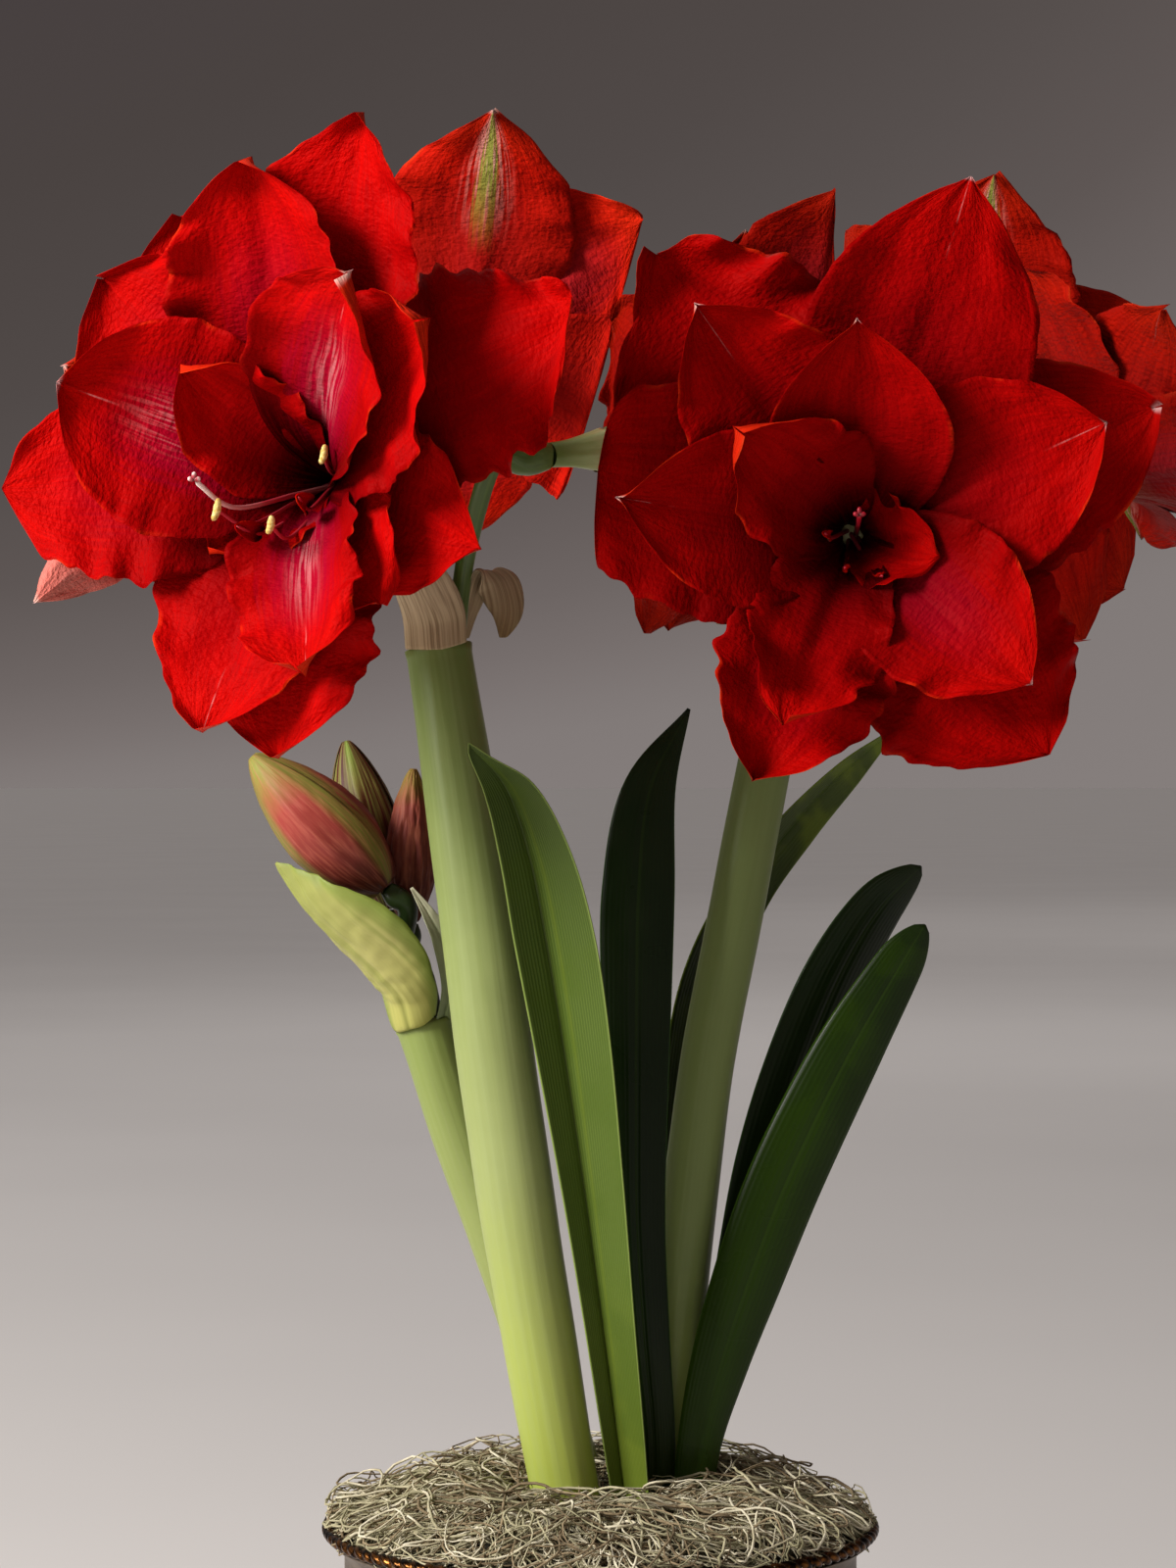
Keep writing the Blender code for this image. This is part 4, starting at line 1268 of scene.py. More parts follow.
            # The layers stand apart by more as they go out, which leaves each petal room to bow in.
            layer_gap = self.least_layer_gap + self.layer_spread * max(along - self.spread_from, 0.0)
            phase = math.radians(petal.clock * 3) + (1.3 if t > 0 else 0.0)
            frill = petal.wave * abs(t) ** 3 * math.sin(10 * s + phase)
            bow = petal.cup * t * t + petal.fold * abs(t) + frill + petal.lean * t
            point = throat + outward * out + forward * ahead
            relief = self.relief(s, t, half, length, seed, petal.frill)
            point += front * (layer_gap * bow + petal.curl * s**4 + relief)
            return self.bend_clear(point), Vector((t * petal.width / 2, s * length, seed / 100))

        return place

    def relief(self, s: float, t: float, half: float, length: float, seed: float, frill: float) -> float:
        """The fine relief of a petal: margins ruffled unevenly, a groove on the midrib and shallow furrows.

        Args:
            s: the share along.
            t: the share across.
            half: the half width there.
            length: the petal's length.
            seed: varies the relief.
            frill: how strongly its margins ruffle.

        Returns:
            Metres towards the front.
        """
        side = 1.0 if t > 0 else -1.0
        run = s * length
        drift = 2.6 * noise.noise(Vector((run * 30, side + seed, 0.3)))
        broad = math.sin(math.tau * run / self.broad_wave + drift + 2.1 * side + seed)
        broad *= smooth(abs(t), 0.35, 1.0)
        fine = math.sin(math.tau * run / self.fine_wave + 2.2 * drift + seed)
        fine *= smooth(abs(t), 0.70, 1.0)
        uneven = smooth(noise.noise(Vector((run * 24, side * 3, seed))), -0.45, 0.45)
        ruffle = self.broad_height * broad * (0.4 + uneven) + self.fine_height * fine * uneven
        groove = bell(half * t, self.groove_width) * smooth(1 - s, 0.0, 0.5)
        furrow = math.sin(t * 9 + seed) * math.sin(math.pi * min(s * 1.1, 1.0))
        lumps = noise.noise(Vector((t * 2.2, s * 6, seed))) + 0.3 * noise.noise(Vector((t * 7, s * 14, seed)))
        return (
            frill * smooth(s, 0.25, 0.55) * ruffle
            - self.groove_depth * groove
            + self.furrow_height * furrow
            + self.lump_height * lumps * smooth(s, 0.35, 0.8)
        )

    def build(self) -> None:
        """Builds the bloom's petals, tube, stamens and stalk."""
        draft = Draft()
        for i, (petal, depth) in enumerate(zip(self.petals, self.depths())):
            traits = (*petal.marking.value, petal.shade * self.shade)
            surface = self.petal_surface(petal, depth, i)
            # A smooth petal ends in a pale nib.
            nibbed = petal.frill < self.smoothest
            for vertex in draft.sheet(self.columns, self.rows, surface, traits, petal_fullness):
                t, s, _ = vertex[draft.span]
                nib = nibbed * bell(petal.half_width(s) * t, self.nib_width) * smooth(s, 0.982, 1.0)
                vertex[draft.span] = (t, s, max(nib, petal.bleach * smooth(s, 0.2, 0.9)))
        petals = draft.finish(self.name + "_petals", [PETAL, REVERSE], "petals", [self.name])
        thicken(petals, self.petal_thickness, 1)
        self.build_tube()
        if self.stamens:
            self.build_stamens()
        self.build_pedicel()

    def build_tube(self) -> None:
        """Builds the ribbed flower tube behind the petals, whose front cap is the throat's floor in near-black
        painted shade.
        """
        forward = self.directions()[2]
        throat = mm(*self.throat)
        back = throat - forward * self.tube_length
        points = [back.lerp(throat, share) for share in (0, 0.33, 0.66, 1)]
        foot, mouth = self.tube_radius, self.throat_radius
        draft = Draft()
        draft.tube(points, (foot, foot * 1.15, mouth * 0.75, mouth * 0.98), 36, 16, (0.0, 0.05), tube_ribs)
        for face in draft.shape.faces:
            # The front cap takes the throat's near-black painted shade.
            if (face.calc_center_median() - throat).dot(forward) > -0.0004:
                face.material_index = 1
        draft.finish(self.name + "_tube", [TUBE, THROAT_SHADE], "petals")

    def build_stamens(self) -> None:
        """Builds the style, the threads with their anthers, and the red petal-like flaps among them."""
        forward = self.directions()[2]
        throat = mm(*self.throat)
        threads, styles, anthers, flaps = Draft(), Draft(), Draft(), Draft()
        for number, stamen in enumerate(self.stamens):
            tip = mm(*stamen.tip)
            spoke = Vector((math.cos(number * 2.1), 0, math.sin(number * 2.1)))
            start = throat - forward * self.throat_depth + spoke * self.thread_ring
            sag = UP * stamen.sag / 1000
            bend = (start.lerp(tip, 0.35) - sag * 0.5, start.lerp(tip, 0.75) - sag)
            points = [start, *bend, tip]
            if stamen.kind is StamenKind.STIGMA:
                styles.tube(points, self.style_radii, 10, 30)
                for lobe in (mm(-2.2, -0.4, 0.8), mm(0, -0.4, 3.0), mm(2.2, -0.4, 0.8)):
                    line = [tip, tip + lobe * 0.5, tip + lobe]
                    styles.tube(line, self.lobe_radii, 8, 8, (0.1, 0.3))
                continue
            threads.tube(points, self.thread_radii, 8, 24)
            half = stamen.length / 2000
            if stamen.kind is StamenKind.ANTHER:
                # An anther balances on its thread, curved like a hook.
                lean = Vector((0.35, 0.0, 1.0)).normalized() * half
                back, ahead = tip - forward * 0.0008, tip + forward * 0.0012
                hook = [tip - lean, back - lean * 0.3, tip + lean * 0.4, ahead + lean]
                anthers.tube(hook, self.anther_radii, 10, 18, (0.12, 0.12), pollen_lumps)
            else:
                flaps.sheet(8, 14, flap_surface(bend[1], tip, half * 0.36, number), (0.3, 0.0, 0.8))
        for draft, part, finishes in (
            (threads, "_filaments", [FILAMENT]),
            (styles, "_style", [self.style]),
            (anthers, "_anthers", [POLLEN]),
            (flaps, "_flaps", [PETAL, REVERSE]),
        ):
            if draft.shape.verts:
                made = draft.finish(self.name + part, finishes, "petals")
                if draft is flaps:
                    thicken(made, self.flap_thickness, 1)

    def build_pedicel(self) -> None:
        """Builds the green stalk and its three-lobed ovary, from the scape's top to the tube."""
        forward = self.directions()[2]
        seat = mm(*self.throat) - forward * (self.tube_length + SEAT_GAP)
        ovary = seat - forward * self.ovary_length
        foot = mm(*self.foot)
        rise = max((ovary - foot).length * 0.45, 0.010)
        points = (
            foot,
            foot + (UP * rise).lerp((ovary - foot) * 0.45, 0.45),
            ovary - forward * 0.006,
            ovary + forward * 0.005,
            seat - forward * 0.007,
            seat,
        )
        stalk = self.pedicel_radius
        radii = (stalk, stalk, stalk + 0.0004, self.ovary_radius, self.ovary_radius, self.tube_radius)
        draft = Draft()
        draft.tube(points, radii, 28, 40, (0.01, 0.02), ovary_lobes)
        name = self.name.replace("bloom", "pedicel")
        draft.finish(name + "_skin", [PEDICEL], "pedicels", [name])


def petal_fullness(s: float, t: float) -> float:
    """A petal's share of its full thickness at (along, across): thin at its margins and its end."""
    return 0.14 + 0.86 * (1 - t**4) * (1 - s**6)


def tube_ribs(s: float, around: float) -> float:
    """The six ribs of a flower tube, in metres."""
    return 0.0006 * math.cos(6 * around) * s


def ovary_lobes(s: float, around: float) -> float:
    """The three lobes of an ovary at a stalk's end, in metres."""
    return 0.0005 * math.cos(3 * around) * smooth(s, 0.5, 0.75)


def pollen_lumps(s: float, around: float) -> float:
    """The loose pollen on an anther, in metres."""
    return 0.0003 * noise.noise(Vector((s * 9, math.cos(around) * 2, math.sin(around) * 2)))


def flap_surface(start: Vector, tip: Vector, half: float, number: int) -> Surface:
    """A petal-like stamen: a small curled blade.

    Args:
        start: where it leaves its thread.
        tip: its end.
        half: its half width.
        number: varies its curl.

    Returns:
        The surface, as a function of (along, across).
    """
    ahead = (tip - start).normalized()
    side = ahead.cross(Vector((0.2, -1, 0.4 - 0.3 * (number % 3)))).normalized()
    face = side.cross(ahead)

    def place(s: float, t: float) -> tuple[Vector, Vector]:
        """Finds a place on the flap.

        Args:
            s: the share along.
            t: the share across, from -1 to 1.

        Returns:
            The point and its place on the skin.
        """
        width = half * (0.25 + math.sin(math.pi * min(s * 0.9 + 0.1, 1.0)) ** 0.7)
        curl = 0.5 * width * t * t + 0.0008 * math.sin(7 * s + number)
        point = start.lerp(tip, s) + side * (width * t) + face * curl
        return point, Vector((t * half, s * (tip - start).length, number))

    return place


PALE_TEPAL = Petal(128, 0.087, 0.031, 4.9, cup=0.5, bleach=0.55, frill=0.5, point=0.9)
REAR_TEPAL = Petal(208, 0.106, 0.060, 0.4, frill=1.5, point=0.6)

BLOOMS = (
    Bloom(
        "bloom_left_front",
        throat=(-92, -52, 525),
        axis=(-0.42, -0.90, 0.05),
        foot=(-61, -5.8, 471.9),
        petals=LEFT_FRONT_PETALS,
        room=1.3,
        columns=30,
        rows=88,
        stamens=LEFT_FRONT_STAMENS,
    ),
    Bloom(
        "bloom_left_back",
        throat=(-53, 60, 581),
        axis=(0.08, 0.93, 0.34),
        foot=(-60.5, 7, 471.9),
        petals=whorls(116, 21, 0.94, striped=2),
    ),
    Bloom(
        "bloom_left_right",
        throat=(3, 4, 541),
        axis=(0.82, 0.55, 0.12),
        foot=(-52.8, -0.5, 471.9),
        petals=whorls(36, 33, 0.70),
        shade=0.55,
    ),
    Bloom(
        "bloom_left_side",
        throat=(-127, 44, 546),
        axis=(-0.66, 0.74, -0.10),
        foot=(-67.4, 1.5, 471.9),
        petals=(*whorls(8, 45, 0.76), PALE_TEPAL),
    ),
    Bloom(
        "bloom_right_front",
        throat=(88.5, -50, 506.5),
        axis=(0.00, -0.99, -0.08),
        foot=(71.2, 16.8, 478.4),
        petals=RIGHT_FRONT_PETALS,
        room=1.4,
        columns=30,
        rows=88,
        stamens=RIGHT_FRONT_STAMENS,
        style=STYLE_RED,
        shade=0.76,
    ),
    Bloom(
        "bloom_right_side",
        throat=(172, 26, 524),
        axis=(0.74, 0.20, 0.64),
        foot=(76.4, 22, 478.4),
        petals=whorls(2, 57, 0.84, 3.0, 1),
        shade=0.62,
    ),
    Bloom(
        "bloom_right_rear",
        throat=(130, 92, 558),
        axis=(0.36, 0.86, 0.30),
        foot=(71.2, 27.2, 478.4),
        petals=(REAR_TEPAL, *whorls(-18, 69, 1.04, striped=0)),
        shade=0.62,
    ),
    Bloom(
        "bloom_right_back",
        throat=(68, 80, 552),
        axis=(-0.20, 0.92, 0.32),
        foot=(66, 22, 478.4),
        petals=whorls(340, 81, 1.02),
        shade=0.5,
    ),
)

# The blooms also bend clear of the buds, which stand about here.
BUD_SITE = (mm(-118, 30, 392), 1.0)


# Stems and leaves


@dataclass(frozen=True)
class Scape:
    """A hollow flower stalk: its centre line in mm, and the radius at each point."""

    name: str
    points: tuple[Point, ...]
    radii: tuple[float, ...]
    finish: Finish
    sides: int = 64
    rows: int = 110
    oval: float = 0.0004
    ridge_height: float = 0.00005
    ridges: int = 19
    swell_height: float = 0.0004
    node_swell: float = 0.0005

    def relief(self, s: float, around: float) -> float:
        """How far the skin stands out: an oval section, shallow ridges, slow swells and the node at the top.

        Args:
            s: the share along.
            around: the angle round.

        Returns:
            Metres outwards.
        """
        oval = self.oval * math.cos(2 * around + 0.6)
        drift = 0.5 * math.sin(s * 9)
        swell = self.swell_height * noise.noise(Vector((math.cos(around), math.sin(around), s * 7)))
        node = self.node_swell * bell(s - 0.992, 0.006)
        return oval + self.ridge_height * math.cos(self.ridges * around + drift) + swell + node

    def build(self) -> None:
        """Builds the stalk."""
        points = [mm(*point) for point in self.points]
        draft = Draft()
        draft.tube(points, self.radii, self.sides, self.rows, (0.003, 0.006), self.relief)
        draft.finish(self.name + "_skin", [self.finish], "scape_skin", [self.name])


SCAPES = (
    Scape(
        "scape_left",
        ((-9, -10, 140.3), (-24.5, -14, 230), (-37, -14.5, 312), (-46.5, -10, 384), (-59.8, 0, 471.5)),
        (0.0118, 0.0132, 0.0139, 0.0135, 0.0116),
        SCAPE_STOUT,
    ),
    Scape(
        "scape_right",
        ((20.5, 13.5, 140.3), (28.5, 15, 222), (39, 16, 311), (52.5, 18, 382), (71, 22, 478)),
        (0.0100, 0.0100, 0.0098, 0.0098, 0.0094),
        SCAPE_SLIM,
    ),
    Scape(
        "scape_bud",
        ((-1.5, 25, 140.3), (-18, 27.5, 188), (-34, 29, 235), (-51, 30.5, 282), (-66.5, 32, 330.4)),
        (0.0092, 0.0094, 0.0096, 0.0098, 0.0104),
        SCAPE_YOUNG,
    ),
)


@dataclass(frozen=True)
class Blade:
    """A leaf or bract: its centre line in mm from the base to the tip, and its half width in metres along it.

    Its facing is in degrees, at the base and at the tip, and its hem is how far its left and right corners
    reach down.
    """

    name: str
    points: tuple[Point, ...]
    half_widths: tuple[float, ...]
    facing: tuple[float, float]
    channel: float = 0.30
    finish: Finish = LEAF_DARK
    slot: str = "leaf_skin"
    thickness: float = 0.0016
    columns: int = 20
    rows: int = 84
    crinkle: float = 0.0
    crinkle_length: float = 0.008
    midrib: float = 0.0006
    midrib_width: float = 0.10
    ridge: float = 0.45
    hem: tuple[float, float] = (0.0, 0.0)
    stand_off: float = 0.0
    blunt: float = 0.0
    fold_at: float = 0.0
    foot_end: float = 0.14
    narrowing: float = 0.12

    @cached_property
    def line(self) -> list[Vector]:
        """The centre line in metres."""
        return [mm(*point) for point in self.points]

    def place(self, s: float, t: float) -> tuple[Vector, Vector]:
        """A point on the blade: its line plus its width to the side, with the edges lifted to a channel.

        Args:
            s: the share along.
            t: the share across, from -1 to 1.

        Returns:
            The point, and its place on the blade's skin.
        """
        base, tip = self.line[0], self.line[-1]
        centre = spline_value(self.line, s)
        ahead = spline_value(self.line, min(s + 0.01, 1.0)) - spline_value(self.line, max(s - 0.01, 0.0))
        ahead.normalize()
        turn = math.radians(self.facing[0] + (self.facing[1] - self.facing[0]) * s)
        side = Vector((math.cos(turn), math.sin(turn), 0))
        side = (side - ahead * side.dot(ahead)).normalized()
        half = spline_value(self.half_widths, s)
        if s > 1 - self.blunt:
            half *= math.sqrt(max(1 - ((s - 1 + self.blunt) / self.blunt) ** 2, 0.001))
        skin = Vector((t * half, base.x * 5, s * (tip - base).length))
        off = t - self.fold_at
        lift = self.channel * half * (self.ridge * abs(off) + (1 - self.ridge) * off * off)
        lift -= self.midrib * bell(off, self.midrib_width) * smooth(1 - s, 0.0, 0.2)
        lift += self.crinkle_at(skin) * smooth(s, 0.05, 0.3)
        foot = 1 - smooth(s, 0.0, self.foot_end)
        drop = (self.hem[0] * (1 - t) + self.hem[1] * (1 + t)) / 2 * foot
        point = centre + side * (half * t * (1 - self.narrowing * abs(self.channel) * t * t))
        point += side.cross(ahead) * (lift + self.stand_off * foot)
        point.z = max(point.z, base.z + SEAT_GAP) - drop
        return point, skin

    def crinkle_at(self, skin: Vector) -> float:
        """How far the crinkles of a dry or thin blade stand out.

        Args:
            skin: the place on the blade's skin.

        Returns:
            Metres towards the face.
        """
        if not self.crinkle:
            return 0.0
        spot = skin / self.crinkle_length
        folds = noise.noise(Vector((spot.x * 2.2, spot.y, spot.z * 0.6)))
        creases = noise.noise(Vector((spot.x * 6, spot.y + 4, spot.z * 0.8)))
        return self.crinkle * (folds + 0.5 * creases + 0.3 * noise.noise(spot * 3))

    def build(self) -> None:
        """Builds the blade, thinner at its edges."""
        draft = Draft()
        draft.sheet(self.columns, self.rows, self.place, fullness=blade_fullness)
        made = draft.finish(self.name + "_blade", [self.finish], self.slot, [self.name])
        thicken(made, self.thickness)


@dataclass(frozen=True)
class Bract(Blade):
    """A thin bract, dried unless its finish says otherwise."""

    finish: Finish = PAPERY
    slot: str = "dried_spathe"
    thickness: float = 0.0008
    columns: int = 16
    rows: int = 48
    crinkle: float = 0.0008


def blade_fullness(s: float, t: float) -> float:
    """A blade's share of its full thickness at (along, across)."""
    return 0.30 + 0.70 * (1 - abs(t) ** 3) * (1 - s**6)


LEAVES = (
    Blade(
        "leaf_front",
        (
            *((13, -8.5, 140.3), (9.2, -11, 176), (3, -17, 230), (-2.5, -19, 277), (-8.8, -20, 326)),
            *((-14.8, -22, 365), (-21, -26, 394), (-31, -31, 419), (-47, -36, 433)),
        ),
        (0.0062, 0.0082, 0.0105, 0.0130, 0.0158, 0.0170, 0.0155, 0.0116, 0.0056),
        (0, -12),
        0.85,
        LEAF_YOUNG,
        "fresh_leaf_skin",
        columns=32,
        ridge=0.95,
        blunt=0.12,
        fold_at=-0.3,
    ),
    Blade(
        "leaf_centre",
        (
            *((18.5, -0.5, 140.3), (19.5, -1.5, 176), (16, -3.5, 216), (13.4, -4, 257), (13, -4, 300)),
            *((13.2, -3, 342), (14, -2, 380), (18, 0, 416), (32.5, 3, 446)),
        ),
        (0.0075, 0.0080, 0.0095, 0.0105, 0.0118, 0.0132, 0.0136, 0.0100, 0.0006),
        (-4, 6),
        -0.16,
    ),
    Blade(
        "leaf_back",
        (
            *((19, 29.5, 140.3), (26, 31, 172), (28, 33, 228), (30, 36, 283), (37, 38, 338)),
            *((53, 39, 376), (73, 40, 403), (94, 40, 425), (113.5, 40, 441)),
        ),
        (0.0070, 0.0080, 0.0095, 0.0105, 0.0110, 0.0108, 0.0100, 0.0075, 0.0006),
        (8, 38),
        finish=LEAF_BACK,
    ),
    Blade(
        "leaf_right_rear",
        (
            *((35, 9.5, 140.3), (39, 11, 173), (45.5, 12.5, 206), (54, 14, 242), (63, 16, 277)),
            *((74, 18, 311), (88, 20, 345), (103, 20, 371), (119, 19, 388)),
        ),
        (0.0065, 0.0080, 0.0105, 0.0130, 0.0150, 0.0152, 0.0142, 0.0112, 0.0066),
        (58, 14),
        -0.22,
        ridge=0.1,
        blunt=0.10,
    ),
    Blade(
        "leaf_right_front",
        (
            *((33, -5, 140.3), (36, -5, 175), (44, -4.5, 207), (54.5, -3.5, 238), (66, -2, 268)),
            *((78.5, -1, 295), (93, 0, 323), (108, 0, 349), (118.8, 0, 367)),
        ),
        (0.0070, 0.0082, 0.0112, 0.0135, 0.0145, 0.0143, 0.0130, 0.0100, 0.0066),
        (8, 10),
        -0.26,
        LEAF_PAINTED_LIT,
        ridge=0.1,
        blunt=0.10,
    ),
)

BRACTS = (
    Bract(
        "spathe_left_near",
        ((-60, -11.4, 471.8), (-62, -14, 480), (-66, -17, 489), (-71, -20, 499), (-76, -24, 508)),
        (0.0120, 0.0124, 0.0118, 0.0085, 0.0010),
        (-4, -30),
        -0.42,
        columns=28,
        crinkle=0.0006,
        hem=(0.0046, 0.0052),
        stand_off=0.0010,
    ),
    Bract(
        "spathe_left_far",
        ((-50.6, 5.2, 471.8), (-47.5, 4, 484), (-43, 2, 496), (-37, 1, 493), (-34, 1, 482), (-36, 1, 471)),
        (0.0034, 0.0044, 0.0074, 0.0090, 0.0066, 0.0008),
        (70, 0),
        columns=20,
        rows=60,
        crinkle=0.0010,
    ),
    Bract(
        "spathe_right_near",
        ((77.4, 16.2, 478.3), (85, 13, 487), (91, 12, 492), (96, 11, 484), (96.5, 10, 468)),
        (0.0046, 0.0062, 0.0066, 0.0058, 0.0008),
        (45, 60),
    ),
    Bract(
        "spathe_right_far",
        ((65.2, 27.9, 478.3), (57, 31, 487), (51, 33, 489), (46, 35, 480), (44, 36, 464)),
        (0.0046, 0.0062, 0.0066, 0.0056, 0.0008),
        (-135, -120),
    ),
    Bract(
        "spathe_bud_valve",
        ((-70, 22.4, 330.7), (-75, 14, 340), (-83, 10, 350), (-95, 7, 361), (-108, 7, 374), (-120, 10, 389)),
        (0.0096, 0.0150, 0.0205, 0.0215, 0.0150, 0.0008),
        (-22, -62),
        -0.50,
        VALVE,
        "fresh_spathe",
        columns=36,
        rows=80,
        crinkle=0.0014,
        crinkle_length=0.014,
        ridge=0.1,
        hem=(0.0060, 0.0010),
        stand_off=0.0012,
    ),
    Bract(
        "spathe_bud_inner",
        ((-58.6, 26.2, 330.7), (-55.8, 21.5, 344), (-58, 18.5, 358), (-63, 16, 369), (-70, 15, 380)),
        (0.0040, 0.0050, 0.0050, 0.0030, 0.0006),
        (40, 20),
        finish=BRACTEOLE,
        columns=12,
        crinkle=0.0005,
    ),
)


# Buds


@dataclass(frozen=True)
class Bud:
    """A closed flower of overlapping tepals: its base, tip and foot in mm, and its greatest radius."""

    name: str
    base: Point
    tip: Point
    foot: Point
    radius: float
    finish: Finish
    front: Point
    wrinkle: float = 0.0004
    reach: float = 1.15
    tepals: int = 3
    tepal_thickness: float = 0.0005
    core_share: float = 0.92
    skin_share: float = 0.94
    ridge_height: float = 0.0009
    ridge_width: float = 0.16
    flare_height: float = 0.0016
    stalk_radii: tuple[float, ...] = (0.0030, 0.0031, 0.0038, 0.0042, 0.0026)

    @cached_property
    def line(self) -> Vector:
        """The way from the base to the tip."""
        return mm(*self.tip) - mm(*self.base)

    @cached_property
    def turn(self) -> Matrix:
        """The turn that stands the bud along its line."""
        return self.line.to_track_quat("Z", "Y").to_matrix()

    @staticmethod
    def girth(s: float) -> float:
        """How full the bud is at a share of its length."""
        return math.sin(math.pi * s**0.80) ** 0.66 if 0 < s < 1 else 0.0

    def at(self, s: float, around: float, radius: float) -> tuple[Vector, Vector]:
        """A point of the bud.

        Args:
            s: the share along.
            around: the angle round.
            radius: the distance from the middle line.

        Returns:
            The point, and its place on the skin.
        """
        spoke = Vector((math.cos(around), math.sin(around), 0))
        rise = UP * (s * self.line.length)
        return mm(*self.base) + self.turn @ (spoke * radius + rise), spoke * self.radius + rise

    def core(self, s: float, t: float) -> tuple[Vector, Vector]:
        """The inner body at (along, round)."""
        lobed = 1 + 0.03 * math.cos(6 * math.pi * t)
        return self.at(s, math.pi * t, self.radius * self.core_share * self.girth(s) * lobed)

    def tepal(self, facing: float, number: int) -> Surface:
        """The surface of one outer tepal.

        Args:
            facing: the angle that its middle faces.
            number: its place, which sets how it overlaps the next.

        Returns:
            The surface, as a function of (along, across).
        """

        def place(s: float, t: float) -> tuple[Vector, Vector]:
            """Finds a place on the tepal.

            Args:
                s: the share along.
                t: the share across, from -1 to 1.

            Returns:
                The point and its place on the skin.
            """
            around = facing + t * self.reach * (1 - 0.12 * s)
            over = 0.0013 if number == 0 else 0.0005 + 0.0004 * t
            ridge = self.ridge_height * bell(t, self.ridge_width) * math.sin(math.pi * s)
            broad, fine = (noise.noise(Vector((t * x, s * y, facing))) for x, y in ((5, 3), (9, 12)))
            crease = self.wrinkle * (broad + 0.7 * fine)
            frill = smooth(math.sin(5 * t + facing), 0.2, 1.0)
            flare = self.flare_height * (1 - smooth(s, 0.0, 0.12)) * frill
            lift = (over + ridge + crease) * self.girth(0.05 + 0.9 * s)
            girth = self.radius * self.skin_share * self.girth(0.015 + 0.972 * s)
            return self.at(s, around, girth + lift + flare)

        return place

    def build(self) -> None:
        """Builds the bud's core, its outer tepals and its stalk."""
        seen = self.turn.transposed() @ Vector(self.front)
        facing = math.atan2(seen.y, seen.x)
        draft = Draft()
        draft.closed(36, 40, self.core)
        for i in range(self.tepals):
            draft.sheet(30, 60, self.tepal(facing + math.tau * i / self.tepals, i), fullness=tepal_fullness)
        made = draft.finish(self.name + "_tepals", [self.finish], "bud_tepals", [self.name])
        thicken(made, self.tepal_thickness)
        self.build_stalk()

    def build_stalk(self) -> None:
        """Builds the stalk and young ovary under the bud."""
        foot, line = mm(*self.foot), self.line.normalized()
        seat = mm(*self.base) - line * SEAT_GAP
        bend = foot.lerp(seat, 0.4) + mm(0, 0, 2)
        points = (foot, bend, seat - line * 0.012, seat - line * 0.005, seat)
        draft = Draft()
        draft.tube(points, self.stalk_radii, 24, 32, (0.02, 0.03), ovary_lobes)
        draft.finish(self.name + "_stalk_skin", [BUD_STALK_SHADE], "pedicels", [self.name + "_stalk"])


def tepal_fullness(s: float, t: float) -> float:
    """A bud tepal's share of its full thickness at (along, across)."""
    return 0.5 + 0.5 * (1 - t * t)


BUDS = (
    Bud(
        "bud_left",
        base=(-80.2, 20, 380),
        tip=(-129, 18, 428.6),
        foot=(-69.8, 30, 330.8),
        radius=0.0160,
        finish=BUD_BLUSHED,
        front=(-0.15, -0.97, -0.2),
    ),
    Bud(
        "bud_rear",
        base=(-80.5, 49, 371),
        tip=(-96.5, 53, 434.5),
        foot=(-68.6, 37.4, 330.8),
        radius=0.0134,
        finish=BUD_STRIPED,
        front=(0.05, -1.0, 0.0),
        reach=0.95,
    ),
    Bud(
        "bud_right",
        base=(-71.5, 33, 367),
        tip=(-70, 34, 424),
        foot=(-61.6, 31.5, 330.8),
        radius=0.0084,
        finish=BUD_WRINKLED,
        front=(-0.5, -0.86, 0.0),
        wrinkle=0.0011,
    ),
)


# Pot and planting


